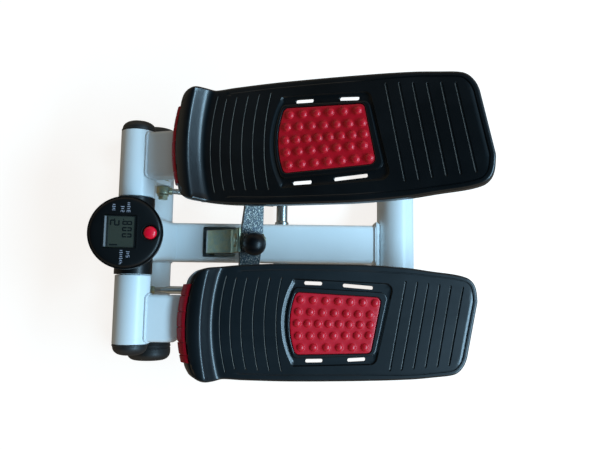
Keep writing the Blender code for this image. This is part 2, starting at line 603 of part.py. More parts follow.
# columns: across the machine, along the pivot, up from the bar
BASIS = Matrix((Vector((1, 0, 0)), K, Vector((1, 0, 0)).cross(K))).transposed()
RP = empty("rocker_pivot", P0, ROT @ BASIS, AXLE)
UPS = 1.0 if (BASIS @ Vector((0, 0, 1))).z > 0 else -1.0


def rocker_outline():
    pts = []
    half = [(0.0, ROCKER_HALF_W + 1.0), (30.0, 10.7), (62.0, 8.9), (88.0, 8.1), (91.5, 7.0), (93.0, 5.8)]
    for x, w in half:
        pts.append((x, w))
    for x, w in reversed(half):
        pts.append((x, -w))
    for x, w in half[1:]:
        pts.append((-x, -w))
    for x, w in reversed(half[1:]):
        pts.append((-x, w))
    return pts[:len(half)] + pts[len(half):]


out = []
for p in rocker_outline():
    if not out or (abs(out[-1][0] - p[0]) + abs(out[-1][1] - p[1])) > 1e-6:
        out.append(p)
bm = bmesh.new()
add_prism(bm, out, lambda p, t: Vector((p[0], p[1], t)), -ROCKER_HALF_T, ROCKER_HALF_T)
bar = finish_mesh(bm, "rocker_bar", HAMMER, RP)
boss = cutter("join_rocker_boss", lambda b: add_turned(b, [(10.4, -ROCKER_HALF_W + 0.7), (10.4, ROCKER_HALF_W - 0.7)], 28,
                                                       (0, 1, 0), (0, 0, 0)), RP)
cut(bar, boss, 'UNION')


def rocker_cuts(b):
    add_turned(b, [(6.6 + GAP, -20), (6.6 + GAP, 20)], 24, (0, 1, 0), (0, 0, 0))
    for s in (1.0, -1.0):
        add_box(b, (s * 73.0 if s > 0 else -110.0, -5.6, -9), (110.0 if s > 0 else -73.0, 5.6, 9))


cut(bar, cutter("cut_rocker", rocker_cuts, RP))


def pin_cuts(b):
    for s in (1.0, -1.0):
        add_turned(b, [(2.6 + GAP, -20), (2.6 + GAP, 20)], 14, (0, 1, 0), (s * ROCKER_R, 0, 0))


cut(bar, cutter("cut_roller_pins", pin_cuts, RP))
turned("rocker_bush", tube_profile(6.6, PIVOT_BOLT_R + GAP, -ROCKER_HALF_W + 0.4, ROCKER_HALF_W - 0.4), NYLON, 18,
       (0, 1, 0), (0, 0, 0), True, RP)
for side, s in (("left", 1.0), ("right", -1.0)):
    turned("roller_pin_" + side, [(0.0, -9.8), (3.0, -9.8), (3.8, -9.3), (3.8, -8.4), (2.6, -8.4), (2.6, 8.4),
                                  (3.8, 8.4), (3.8, 9.3), (3.0, 9.8), (0.0, 9.8)], STEEL, 14, (0, 1, 0),
           (s * ROCKER_R, 0, 0), False, RP)
    RL = empty("roller_pivot_" + side, (s * ROCKER_R, 0, 0), None, RP)
    crown = [(math.sqrt(ROLLER_R ** 2 - z * z), z) for z in (-5.2, -2.8, 0.0, 2.8, 5.2)]
    turned("roller_" + side, [(2.6 + GAP, -ROLLER_HALF_W)] + crown + [(2.6 + GAP, ROLLER_HALF_W)],
           NYLON, 18, (0, 1, 0), (0, 0, 0), True, RL)

KP = empty("knob_pivot", (0, 0, 0), None, RP)
kz = UPS
prof = [(0.0, KNOB_H - KNOB_R + 1.6), (4.6, KNOB_H - KNOB_R + 1.6)]
for i in range(1, 8):
    a = math.radians(-68 + (158.0) * i / 8)
    prof.append((KNOB_R * math.cos(a), KNOB_H + KNOB_R * math.sin(a)))
prof.append((0.0, KNOB_H + KNOB_R))
base_z = 10.4 + GAP
prof = [(r, z) for r, z in prof if z >= base_z + 0.02 or r == 0.0]
prof[0] = (0.0, base_z)
r_base = math.sqrt(max(0.0, KNOB_R ** 2 - (KNOB_H - base_z) ** 2))
prof.insert(1, (r_base, base_z))
prof = [p for i, p in enumerate(prof) if not (i > 1 and p[0] == 4.6)]
turned("height_knob", prof, BLACK, 24, (0, 0, kz), (0, 0, 0), False, KP)

# ------------------------------------------------------------------ counter
bm = bmesh.new()
pts = []
for i in range(17):
    a = math.radians(-10 + 200.0 * i / 16)
    pts.append((19.2 * math.cos(a), 19.2 * math.sin(a)))
for i in range(17):
    a = math.radians(190 - 200.0 * i / 16)
    pts.append(((HUB_R + GAP) * math.cos(a), (HUB_R + GAP) * math.sin(a)))
add_prism(bm, pts, lambda p, t: Vector((t, p[0], p[1])), -39.5, 39.5)
saddle = finish_mesh(bm, "console_saddle", BLACK, AXLE)


def pedestal(b):
    # foot between the saddle and the sloping underside of the housing
    top = [(y, CONSOLE_Z - y * math.tan(math.radians(8.0)) - 0.35) for y in (9.5, -8.5)]
    low = [(y, math.sqrt(18.2 ** 2 - y * y)) for y in (-8.5, -4.0, 0.0, 4.5, 9.5)]
    add_prism(b, top + low, lambda p, t: Vector((t, p[0], p[1])), -16.0, 16.0)


cut(saddle, cutter("join_pedestal", pedestal, AXLE), 'UNION')

CT = empty("console_frame", (0, 0, CONSOLE_Z), rotate_x(CONSOLE_TILT), AXLE)
R = CONSOLE_R
turned("console_housing", [(0.0, 0.0), (R - 6.0, 0.0), (R - 1.6, 1.6), (R, 5.0), (R, 10.2), (R - 2.0, 10.2), (R - 2.0, 2.6),
                           (0.0, 2.6)], BLACK, 36, (0, 0, 1), (0, 0, 0), False, CT)
face = turned("console_face", [(0.0, 10.5), (R, 10.5), (R, 11.6), (R - 0.8, 12.8), (R - 2.6, CONSOLE_H - 0.3),
                               (R - 4.0, CONSOLE_H), (0.0, CONSOLE_H)], BLACK, 36, (0, 0, 1), (0, 0, 0), False, CT)
WIN = (-16.6, 15.4, -21.8, 11.0)
BTN_Y = 24.0


def face_cuts(b):
    add_prism(b, rounded_rect(WIN[0] - GAP, WIN[1] + GAP, WIN[2] - GAP, WIN[3] + GAP, 2.0, 2),
              lambda p, t: Vector((p[0], p[1], t)), 5.0, 20.0)
    add_turned(b, [(7.4, 5.0), (7.4, 20.0)], 28, (0, 0, 1), (0, BTN_Y, 0))


cut(face, cutter("cut_face", face_cuts, CT))
bm = bmesh.new()
add_prism(bm, rounded_rect(WIN[0], WIN[1], WIN[2], WIN[3], 2.0, 3), lambda p, t: Vector((p[0], p[1], t)), 12.2, 13.8)
finish_mesh(bm, "console_window", CLEAR, CT)
box_obj("lcd_panel", (WIN[0] + 0.6, WIN[2] + 0.6, 9.2), (WIN[1] - 0.6, WIN[3] - 0.6, 11.6), LCD, 0.3, CT)
turned("circuit_board", [(0.0, 5.8), (31.0, 5.8), (31.0, 7.4), (0.0, 7.4)], BOARD, 32, (0, 0, 1), (0, 0, 0), False, CT)
turned("battery_cell", [(0.0, 2.9), (9.6, 2.9), (10.0, 3.3), (10.0, 5.1), (9.6, 5.5), (0.0, 5.5)], STEEL, 28, (0, 0, 1),
       (0, -18.0, 0), False, CT)
turned("battery_cover", [(0.0, -1.7), (11.0, -1.7), (12.0, -1.0), (12.0, -0.3), (0.0, -0.3)], BLACK, 28, (0, 0, 1),
       (0, -25.0 + 3.0, 0), False, CT)
BP = empty("button_frame", (0, BTN_Y, 0), None, CT)
turned("mode_button", [(0.0, 8.8), (6.9, 8.8), (6.9, 14.4), (6.3, 15.4), (4.6, 16.5), (2.4, 17.1), (0.0, 17.3)], RED_BUTTON,
       28, (0, 0, 1), (0, 0, 0), False, BP)
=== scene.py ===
"""Looks of the mini stepper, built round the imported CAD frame.

Lengths are in millimetres in the part's own axle frame: the origin is on the pedal axle, x to the user's left,
y to the heels, z up. Pedal parts use u along the foot, v across from the middle and h above the arm's axis plane.
"""
import bisect
import math

import bmesh
import bpy
from mathutils import Matrix, Vector, noise
from mathutils.geometry import delaunay_2d_cdt
from mathutils.kdtree import KDTree


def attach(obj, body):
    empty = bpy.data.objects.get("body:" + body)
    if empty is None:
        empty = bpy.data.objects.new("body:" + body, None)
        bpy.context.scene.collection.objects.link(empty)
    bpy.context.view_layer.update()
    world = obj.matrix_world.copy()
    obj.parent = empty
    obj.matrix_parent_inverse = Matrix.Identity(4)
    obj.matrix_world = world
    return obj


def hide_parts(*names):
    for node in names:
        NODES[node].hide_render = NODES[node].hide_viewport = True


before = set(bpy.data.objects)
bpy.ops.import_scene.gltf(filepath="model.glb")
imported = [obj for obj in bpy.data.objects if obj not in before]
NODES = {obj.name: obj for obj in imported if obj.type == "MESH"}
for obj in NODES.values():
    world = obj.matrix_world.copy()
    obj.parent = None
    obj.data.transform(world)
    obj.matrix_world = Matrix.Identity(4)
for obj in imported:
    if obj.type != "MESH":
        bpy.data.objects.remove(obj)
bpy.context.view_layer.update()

# ------------------------------------------------------------------ spaces
MM = 0.001
FRAME = Matrix.Translation(Vector((0.0, -162.403, 103.0)) * MM) @ Matrix.Diagonal((MM, MM, MM, 1.0))
TILT = {"left": -3.65, "right": 18.12}
SIDES = (("left", 1.0), ("right", -1.0))
PEDAL = {s: FRAME @ Matrix.Rotation(math.radians(t), 4, 'X') for s, t in TILT.items()}
CONSOLE = FRAME @ Matrix.Translation((0.0, 0.0, 28.5)) @ Matrix.Rotation(math.radians(-8.0), 4, 'X')
SL = math.radians(18.0)
K = Vector((0.0, -math.cos(SL), math.sin(SL)))
P0 = Vector((0.0, 118.0, -36.0))
BASIS = Matrix((Vector((1, 0, 0)), K, Vector((1, 0, 0)).cross(K))).transposed()
ROCKER = FRAME @ Matrix.Translation(P0) @ (Matrix.Rotation(math.radians(-16.3), 3, K) @ BASIS).to_4x4()
PIVOT = FRAME @ Matrix.Translation(P0) @ BASIS.to_4x4()
GAP = 0.3


def towards(axis, at=(0, 0, 0)):
    """Space whose z runs along axis, with its origin at a point."""
    return Matrix.Translation(Vector(at)) @ Vector(axis).to_track_quat('Z', 'Y').to_matrix().to_4x4()


ALONG_X = {1.0: towards((1, 0, 0)), -1.0: towards((-1, 0, 0))}


# ------------------------------------------------------------------ shape tools
def rounded(pts, closed=True, n=5):
    """Corner points (a, b) or (a, b, radius) as a line with its corners rounded."""
    out, count = [], len(pts)
    for i, p in enumerate(pts):
        r = p[2] if len(p) > 2 else 0.0
        c = Vector(p[:2])
        if r <= 0 or (not closed and i in (0, count - 1)):
            out.append(c)
            continue
        a, b = Vector(pts[i - 1][:2]) - c, Vector(pts[(i + 1) % count][:2]) - c
        la, lb = a.length, b.length
        a.normalize()
        b.normalize()
        half = math.acos(max(-1.0, min(1.0, a.dot(b)))) / 2
        if half > math.radians(88.5) or half < 1e-3:
            out.append(c)
            continue
        t = min(r / math.tan(half), la * 0.49, lb * 0.49)
        r = t * math.tan(half)
        mid = c + (a + b).normalized() * (r / math.sin(half))
        s, e = c + a * t - mid, c + b * t - mid
        a0, a1 = math.atan2(s.y, s.x), math.atan2(e.y, e.x)
        while a1 - a0 > math.pi:
            a1 -= 2 * math.pi
        while a1 - a0 < -math.pi:
            a1 += 2 * math.pi
        for k in range(n + 1):
            w = a0 + (a1 - a0) * k / n
            out.append(mid + Vector((math.cos(w), math.sin(w))) * r)
    return out


def rect(x0, x1, y0, y1, r=0.0, n=5):
    return rounded([(x0, y0, r), (x1, y0, r), (x1, y1, r), (x0, y1, r)], True, n)


def circle(r, n, cx=0.0, cy=0.0):
    return [Vector((cx + r * math.cos(2 * math.pi * i / n), cy + r * math.sin(2 * math.pi * i / n))) for i in range(n)]


def add_loft(bm, rings, closed=False, caps=True):
    """Skin over rings of equal length; closed joins the last ring to the first."""
    rows = [[bm.verts.new(p) for p in ring] for ring in rings]
    n = len(rows[0])
    pairs = list(zip(rows[:-1], rows[1:])) + ([(rows[-1], rows[0])] if closed else [])
    for a, b in pairs:
        for i in range(n):
            bm.faces.new((a[i], a[(i + 1) % n], b[(i + 1) % n], b[i]))
    if caps and not closed:
        bm.faces.new(rows[0])
        bm.faces.new(rows[-1])
    return rows


def add_lathe(bm, prof, seg=64, space=None, ring=False):
    """Turned shape. prof is (radius, z) from one end of the axis to the other, or a closed ring for a tube."""
    rows = []
    for r, z in prof:
        if r < 1e-6:
            rows.append([bm.verts.new((0.0, 0.0, z))])
        else:
            rows.append([bm.verts.new((r * math.cos(2 * math.pi * i / seg), r * math.sin(2 * math.pi * i / seg), z))
                         for i in range(seg)])
    pairs = list(zip(rows[:-1], rows[1:])) + ([(rows[-1], rows[0])] if ring else [])
    for a, b in pairs:
        for i in range(seg):
            j = (i + 1) % seg
            if len(a) == 1 and len(b) == 1:
                continue
            if len(a) == 1:
                bm.faces.new((a[0], b[j], b[i]))
            elif len(b) == 1:
                bm.faces.new((a[i], a[j], b[0]))
            else:
                bm.faces.new((a[i], a[j], b[j], b[i]))
    new = [v for row in rows for v in row]
    if space is not None:
        bmesh.ops.transform(bm, matrix=space, verts=new)
    return new


def add_prism(bm, pts, t0, t1, place=None, space=None):
    """Outline pts carried from t0 to t1."""
    if place is None:
        place = lambda p, t: Vector((p[0], p[1], t))
    low = [bm.verts.new(place(p, t0)) for p in pts]
    top = [bm.verts.new(place(p, t1)) for p in pts]
    n = len(pts)
    bm.faces.new(list(reversed(low)))
    bm.faces.new(top)
    for i in range(n):
        bm.faces.new((low[i], low[(i + 1) % n], top[(i + 1) % n], top[i]))
    if space is not None:
        bmesh.ops.transform(bm, matrix=space, verts=low + top)
    return low + top


def add_sweep(bm, path, radius, seg=10, caps=True):
    """Round bar along a path; radius is a number or a list, one for each point."""
    n = len(path)
    rad = radius if isinstance(radius, (list, tuple)) else [radius] * n
    side = None
    rings = []
    for i, p in enumerate(path):
        d = (path[min(i + 1, n - 1)] - path[max(i - 1, 0)]).normalized()
        if side is None:
            side = d.orthogonal().normalized()
        side = (side - d * side.dot(d)).normalized()
        up = d.cross(side)
        rings.append([p + side * (rad[i] * math.cos(2 * math.pi * k / seg)) + up * (rad[i] * math.sin(2 * math.pi * k / seg))
                      for k in range(seg)])
    return add_loft(bm, rings, False, caps)


def add_weld(bm, path, r=1.5, pitch=1.7, seed=0, closed=False):
    """Rippled weld bead along a line of points."""
    pts = [Vector(p) for p in path]
    if closed:
        pts.append(pts[0])
    dist = [0.0]
    for a, b in zip(pts[:-1], pts[1:]):
        dist.append(dist[-1] + (b - a).length)
    total, step = dist[-1], pitch / 4.0
    count = max(8, int(total / step))
    line, rad = [], []
    for i in range(count + 1):
        s = total * i / count
        k = min(len(pts) - 2, max(0, bisect.bisect_right(dist, s) - 1))
        f = (s - dist[k]) / max(1e-9, dist[k + 1] - dist[k])
        p = pts[k].lerp(pts[k + 1], f)
        wob = noise.noise(Vector((s * 0.35, seed * 7.3, 1.7)))
        jog = Vector((noise.noise(Vector((s * 0.5, seed, 3.0))), noise.noise(Vector((s * 0.5, seed, 9.0))),
                      noise.noise(Vector((s * 0.5, seed, 15.0)))))
        ripple = 0.80 + 0.20 * abs(math.sin(math.pi * s / pitch))
        fade = 1.0 if closed else min(1.0, 0.35 + min(s, total - s) / 2.0)
        line.append(p + jog * 0.22)
        rad.append(r * ripple * (1.0 + 0.16 * wob) * fade)
    return add_sweep(bm, line, rad, 10)


def piece(name, bm, mat, body, space=FRAME, node=(), angle=32.0, bevel=0.0, bevel_seg=3, bevel_angle=32.0,
          mods=()):
    """Finishes a mesh as a piece that rides a CAD body and stands for CAD nodes."""
    bmesh.ops.remove_doubles(bm, verts=bm.verts[:], dist=1e-4)
    bmesh.ops.recalc_face_normals(bm, faces=bm.faces[:])
    bm.transform(space)
    me = bpy.data.meshes.new(name)
    bm.to_mesh(me)
    bm.free()
    me.shade_smooth()
    if not bevel:
        me.set_sharp_from_angle(angle=math.radians(angle))
    ob = bpy.data.objects.new(name, me)
    bpy.context.scene.collection.objects.link(ob)
    me.materials.append(mat)
    for kind, tool in mods:
        m = ob.modifiers.new(kind.lower(), 'BOOLEAN')
        m.operation, m.object, m.solver = kind, tool, 'EXACT'
    if bevel:
        m = ob.modifiers.new("bevel", 'BEVEL')
        m.width, m.segments, m.limit_method = bevel * MM, bevel_seg, 'ANGLE'
        m.angle_limit = math.radians(bevel_angle)
        m.use_clamp_overlap = True
        w = ob.modifiers.new("normals", 'WEIGHTED_NORMAL')
        w.keep_sharp = False
        w.weight = 60
    if mods:
        dg = bpy.context.evaluated_depsgraph_get()
        done = bpy.data.meshes.new_from_object(ob.evaluated_get(dg))
        ob.modifiers.clear()
        ob.data = done
        done.name = name
    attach(ob, body)
    if node:
        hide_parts(*([node] if isinstance(node, str) else node))
    return ob


def tool(bm, space=FRAME):
    """A hidden cutter, removed at the end."""
    bmesh.ops.recalc_face_normals(bm, faces=bm.faces[:])
    bm.transform(space)
    me = bpy.data.meshes.new("tool")
    bm.to_mesh(me)
    bm.free()
    ob = bpy.data.objects.new("tool", me)
    bpy.context.scene.collection.objects.link(ob)
    ob.hide_render = True
    TOOLS.append(ob)
    return ob


TOOLS = []


# ------------------------------------------------------------------ materials
class Mat:
    """Small helper that builds a node material."""

    def __init__(self, name, **sockets):
        self.m = bpy.data.materials.new(name)
        self.m.use_nodes = True
        self.nt = self.m.node_tree
        self.bsdf = self.nt.nodes["Principled BSDF"]
        for k, v in sockets.items():
            self.bsdf.inputs[k.replace("_", " ").replace("  ", " ")].default_value = v
        self.co = self.nt.nodes.new("ShaderNodeTexCoord").outputs["Object"]
        self.height = None

    def node(self, kind, **props):
        n = self.nt.nodes.new(kind)
        for k, v in props.items():
            setattr(n, k, v)
        return n

    def link(self, a, b):
        self.nt.links.new(a, b)

    def stretch(self, scale):
        n = self.node("ShaderNodeMapping")
        n.inputs["Scale"].default_value = scale
        self.link(self.co, n.inputs["Vector"])
        return n.outputs["Vector"]

    def noise(self, scale, detail=4.0, rough=0.55, co=None, dist=0.0):
        n = self.node("ShaderNodeTexNoise")
        n.inputs["Scale"].default_value = scale
        n.inputs["Detail"].default_value = detail
        n.inputs["Roughness"].default_value = rough
        n.inputs["Distortion"].default_value = dist
        self.link(co or self.co, n.inputs["Vector"])
        return n.outputs["Fac"]

    def voronoi(self, scale, feature='F1', out="Distance", co=None, rand=1.0):
        n = self.node("ShaderNodeTexVoronoi", feature=feature)
        n.inputs["Scale"].default_value = scale
        n.inputs["Randomness"].default_value = rand
        self.link(co or self.co, n.inputs["Vector"])
        return n.outputs[out]

    def ramp(self, fac, stops, mode='LINEAR'):
        n = self.node("ShaderNodeValToRGB")
        n.color_ramp.interpolation = mode
        els = n.color_ramp.elements
        while len(els) < len(stops):
            els.new(0.5)
        for e, (pos, col) in zip(els, stops):
            e.position = pos
            e.color = (col, col, col, 1.0) if isinstance(col, (int, float)) else (*col, 1.0)
        self.link(fac, n.inputs["Fac"])
        return n.outputs["Color"]

    def mix(self, fac, a, b, kind='MIX'):
        n = self.node("ShaderNodeMix", data_type='RGBA', blend_type=kind)
        for sock, v in ((n.inputs[0], fac), (n.inputs[6], a), (n.inputs[7], b)):
            if isinstance(v, bpy.types.NodeSocket):
                self.link(v, sock)
            elif isinstance(v, (int, float)):
                sock.default_value = v if sock is n.inputs[0] else (v, v, v, 1.0)
            else:
                sock.default_value = (*v, 1.0)
        return n.outputs[2]

    def math(self, op, a, b=0.0):
        n = self.node("ShaderNodeMath", operation=op)
        for sock, v in ((n.inputs[0], a), (n.inputs[1], b)):
            if isinstance(v, bpy.types.NodeSocket):
                self.link(v, sock)
            else:
                sock.default_value = v
        return n.outputs[0]

    def span(self, fac, lo, hi):
        n = self.node("ShaderNodeMapRange")
        n.inputs["To Min"].default_value = lo
        n.inputs["To Max"].default_value = hi
        self.link(fac, n.inputs["Value"])
        return n.outputs["Result"]

    def color(self, out):
        self.link(out, self.bsdf.inputs["Base Color"])

    def rough(self, out):
        self.link(out, self.bsdf.inputs["Roughness"])

    def bump(self, fac, strength, dist=0.0002):
        n = self.node("ShaderNodeBump")
        n.inputs["Strength"].default_value = strength
        n.inputs["Distance"].default_value = dist
        self.link(fac, n.inputs["Height"])
        if self.height is not None:
            self.link(self.height, n.inputs["Normal"])
        self.height = n.outputs["Normal"]
        self.link(self.height, self.bsdf.inputs["Normal"])


def setp(m, **kw):
    for k, v in kw.items():
        m.bsdf.inputs[k].default_value = v


def make_materials():
    out = {}
    # white powder coat: orange peel, faint hue drift and a clear gloss
    m = Mat("white_paint")
    setp(m, **{"IOR": 1.5, "Specular IOR Level": 0.4, "Coat Weight": 0.14, "Coat Roughness": 0.18})
    big, fine = m.noise(9.0, 3.0), m.noise(260.0, 4.0)
    m.color(m.mix(m.ramp(big, [(0.35, 0.0), (0.7, 1.0)]), (0.66, 0.70, 0.715), (0.72, 0.755, 0.765)))
    m.rough(m.span(fine, 0.36, 0.48))
    m.bump(m.noise(420.0, 3.0), 0.10, 0.0003)
    m.bump(m.noise(60.0, 2.0), 0.10, 0.0006)
    out["white"] = m.m
    # the beam's copy of the white coat, painted lighter and bluer to stand for the stronger light the beam gets
    m = Mat("white_paint_painted_lighter")
    setp(m, **{"IOR": 1.5, "Specular IOR Level": 0.4, "Coat Weight": 0.14, "Coat Roughness": 0.18})
    big, fine = m.noise(9.0, 3.0), m.noise(260.0, 4.0)
    m.color(m.mix(m.ramp(big, [(0.35, 0.0), (0.7, 1.0)]), (0.82, 0.88, 0.90), (0.88, 0.93, 0.95)))
    m.rough(m.span(fine, 0.36, 0.48))
    m.bump(m.noise(420.0, 3.0), 0.10, 0.0003)
    m.bump(m.noise(60.0, 2.0), 0.10, 0.0006)
    out["beam"] = m.m
    # weld metal under the same paint
    m = Mat("weld_paint")
    setp(m, **{"IOR": 1.5, "Coat Weight": 0.25, "Coat Roughness": 0.22})
    m.color(m.mix(m.noise(300.0, 4.0), (0.56, 0.60, 0.62), (0.70, 0.74, 0.76)))
    m.rough(m.span(m.noise(500.0, 3.0), 0.25, 0.45))
    m.bump(m.noise(900.0, 4.0), 0.35, 0.0004)
    out["weld"] = m.m
    # satin moulded black plastic of the footplates
    m = Mat("black_plastic")
    setp(m, **{"IOR": 1.49, "Specular IOR Level": 0.56})
    cloud = m.noise(16.0, 5.0, 0.6, dist=0.4)
    grain = m.noise(1500.0, 2.0)
    m.color(m.mix(m.ramp(cloud, [(0.38, 0.0), (0.72, 1.0)]), (0.0022, 0.0036, 0.0048), (0.0046, 0.0070, 0.0090)))
    scuff = m.noise(120.0, 6.0, 0.7, m.stretch((1.0, 0.25, 1.0)))
    m.rough(m.math('ADD', m.span(cloud, 0.26, 0.32), m.span(scuff, -0.03, 0.05)))
    m.bump(grain, 0.10, 0.00012)
    m.bump(m.noise(240.0, 3.0), 0.05, 0.0003)
    out["plastic"] = m.m
    # the same plastic painted pale along the grooves' toe-side lips: a painted highlight where that wall faces the
    # window
    m = Mat("worn_plastic")
    setp(m, **{"IOR": 1.49})
    m.color(m.mix(m.ramp(m.noise(140.0, 5.0, 0.65), [(0.35, 0.0), (0.65, 1.0)]), (0.044, 0.036, 0.029), (0.112, 0.092, 0.072)))
    m.rough(m.span(m.noise(300.0, 4.0), 0.45, 0.62))
    m.bump(m.noise(1500.0, 2.0), 0.10, 0.00012)
    out["worn"] = m.m
    # smoother black of the counter's case
    m = Mat("console_black")
    setp(m, **{"IOR": 1.49, "Specular IOR Level": 0.29})
    m.color(m.mix(m.noise(30.0, 4.0), (0.0018, 0.0020, 0.0022), (0.0036, 0.0040, 0.0044)))
    m.rough(m.span(m.noise(80.0, 5.0), 0.28, 0.40))
    m.bump(m.noise(1800.0, 2.0), 0.10, 0.00010)
    out["console"] = m.m
    # gloss black phenolic ball
    m = Mat("black_gloss")
    setp(m, **{"IOR": 1.48, "Specular IOR Level": 0.34})
    m.color(m.mix(m.noise(60.0, 3.0), (0.0012, 0.0016, 0.0024), (0.0024, 0.0032, 0.0044)))
    m.rough(m.span(m.noise(150.0, 4.0), 0.32, 0.42))
    m.bump(m.noise(300.0, 3.0), 0.04, 0.0002)
    out["gloss"] = m.m
    # black enamel on the dampers
    m = Mat("black_enamel")
    setp(m, **{"IOR": 1.5, "Coat Weight": 0.7, "Coat Roughness": 0.08})
    m.color(m.mix(m.noise(50.0, 4.0), (0.010, 0.010, 0.012), (0.018, 0.018, 0.020)))
    m.rough(m.span(m.noise(200.0, 3.0), 0.25, 0.38))
    m.bump(m.noise(350.0, 3.0), 0.08, 0.0003)
    out["enamel"] = m.m
    # matt black rubber
    m = Mat("black_rubber")
    setp(m, **{"IOR": 1.52})
    m.color(m.mix(m.noise(45.0, 5.0), (0.005, 0.0055, 0.0062), (0.011, 0.0118, 0.013)))
    m.rough(m.span(m.noise(90.0, 4.0), 0.40, 0.58))
    m.bump(m.noise(900.0, 3.0), 0.14, 0.0002)
    out["rubber"] = m.m
    # soft red rubber of the pads
    m = Mat("red_rubber")
    setp(m, **{"IOR": 1.50, "Specular IOR Level": 0.42, "Subsurface Weight": 0.06, "Subsurface Scale": 0.002})
    m.bsdf.inputs["Subsurface Radius"].default_value = (1.0, 0.15, 0.1)
    m.color(m.mix(m.noise(35.0, 5.0), (0.52, 0.004, 0.014), (0.64, 0.008, 0.024)))
    m.rough(m.span(m.noise(70.0, 5.0), 0.28, 0.38))
    m.bump(m.noise(1200.0, 3.0), 0.12, 0.00015)
    out["red"] = m.m
    # red reflector plastic with its prism pattern
    m = Mat("red_reflector")
    setp(m, **{"IOR": 1.49, "Specular IOR Level": 0.14})
    cell = m.voronoi(520.0, 'F1', "Distance", rand=0.15)
    m.color(m.mix(m.ramp(cell, [(0.1, 0.0), (0.6, 1.0)]), (0.47, 0.008, 0.022), (0.29, 0.005, 0.015)))
    m.rough(m.span(cell, 0.30, 0.45))
    m.bump(cell, 0.35, 0.0004)
    out["reflector"] = m.m
    # yellow passivated zinc
    m = Mat("zinc_plate", Metallic=0.92)
    patch, fine = m.noise(120.0, 6.0, 0.65, dist=0.6), m.noise(900.0, 4.0)
    col = m.mix(m.ramp(patch, [(0.35, 0.0), (0.65, 1.0)]), (0.27, 0.33, 0.27), (0.46, 0.42, 0.25))
    m.color(m.mix(m.ramp(fine, [(0.5, 0.0), (0.8, 0.5)]), col, (0.50, 0.56, 0.48)))
    m.rough(m.span(patch, 0.30, 0.46))
    m.bump(fine, 0.12, 0.0002)
    out["zinc"] = m.m
    # bright turned steel
    m = Mat("bright_steel", Metallic=1.0)
    ring = m.noise(500.0, 3.0, 0.6, m.stretch((1.0, 1.0, 6.0)))
    m.color(m.mix(ring, (0.40, 0.42, 0.41), (0.56, 0.57, 0.55)))
    m.rough(m.span(ring, 0.24, 0.38))
    m.bump(ring, 0.06, 0.0001)
    out["steel"] = m.m
    # hammertone enamel: a net of dark veins round pale flat cells
    m = Mat("hammer_grey", Metallic=0.35)
    setp(m, **{"Coat Weight": 0.12, "Coat Roughness": 0.20})
    cell = m.voronoi(950.0, 'F1', "Distance")
    tint = m.voronoi(430.0, 'F1', "Color")
    speck = m.noise(760.0, 4.0, 0.78)
    col = m.mix(m.ramp(cell, [(0.12, 0.0), (0.62, 1.0)]), (0.125, 0.15, 0.15), (0.016, 0.027, 0.038))
    sep = m.node("ShaderNodeSeparateColor")
    m.link(tint, sep.inputs[0])
    col = m.mix(m.ramp(sep.outputs[0], [(0.35, 0.0), (0.9, 0.4)]), col, (0.03, 0.06, 0.115))
    m.color(m.mix(m.ramp(speck, [(0.545, 0.0), (0.60, 1.0)]), col, (0.72, 0.72, 0.64)))
    m.rough(m.span(cell, 0.30, 0.48))
    m.bump(cell, 0.16, -0.0003)
    out["hammer"] = m.m
    # natural nylon
    m = Mat("natural_nylon")
    setp(m, **{"Subsurface Weight": 0.15, "Subsurface Scale": 0.003})
    m.color(m.mix(m.noise(60.0, 4.0), (0.62, 0.60, 0.52), (0.72, 0.70, 0.63)))
    m.rough(m.span(m.noise(150.0, 3.0), 0.38, 0.52))
    m.bump(m.noise(700.0, 3.0), 0.08, 0.0002)
    out["nylon"] = m.m
    # liquid crystal panel: a grey-green film with a faint mottle
    m = Mat("lcd_grey")
    setp(m, **{"Specular IOR Level": 0.2})
    m.color(m.mix(m.noise(25.0, 4.0), (0.033, 0.036, 0.026), (0.045, 0.049, 0.034)))
    m.rough(m.span(m.noise(900.0, 2.0), 0.30, 0.40))
    m.bump(m.noise(2500.0, 1.0), 0.04, 0.00005)
    out["lcd"] = m.m
    m = Mat("lcd_segments")
    setp(m, **{"Specular IOR Level": 0.12})
    m.color(m.mix(m.noise(300.0, 3.0), (0.0012, 0.0016, 0.0016), (0.0026, 0.0034, 0.0032)))
    m.rough(m.span(m.noise(600.0, 2.0), 0.32, 0.44))
    out["segments"] = m.m
    m = Mat("print_white")
    m.color(m.mix(m.noise(700.0, 4.0), (0.26, 0.27, 0.33), (0.44, 0.45, 0.52)))
    m.rough(m.span(m.noise(400.0, 2.0), 0.45, 0.6))
    out["print"] = m.m
    # clear lens
    m = Mat("clear_lens")
    setp(m, **{"Alpha": 0.05, "IOR": 1.49, "Coat Weight": 1.0, "Coat Roughness": 0.03})
    m.color(m.mix(m.noise(40.0, 3.0), (0.04, 0.05, 0.05), (0.09, 0.10, 0.10)))
    m.rough(m.span(m.noise(200.0, 3.0), 0.04, 0.10))
    out["lens"] = m.m
    # pale grey painted on the recess wall as a highlight, where it catches the window
    m = Mat("sill_painted_highlight")
    setp(m, **{"Specular IOR Level": 0.3})
    m.color(m.mix(m.noise(120.0, 4.0), (0.08, 0.077, 0.08), (0.145, 0.142, 0.145)))
    m.rough(m.span(m.noise(300.0, 3.0), 0.35, 0.50))
    out["sill_painted_highlight"] = m.m
    m = Mat("red_button")
    setp(m, **{"Specular IOR Level": 0.35, "Coat Weight": 0.12, "Coat Roughness": 0.15, "Subsurface Weight": 0.08, "Subsurface Scale": 0.002})
    m.bsdf.inputs["Subsurface Radius"].default_value = (1.0, 0.12, 0.1)
    m.color(m.mix(m.noise(120.0, 3.0), (0.72, 0.002, 0.020), (0.84, 0.005, 0.030)))
    m.rough(m.span(m.noise(200.0, 3.0), 0.18, 0.28))
    m.bump(m.noise(500.0, 2.0), 0.03, 0.0001)
    out["button"] = m.m
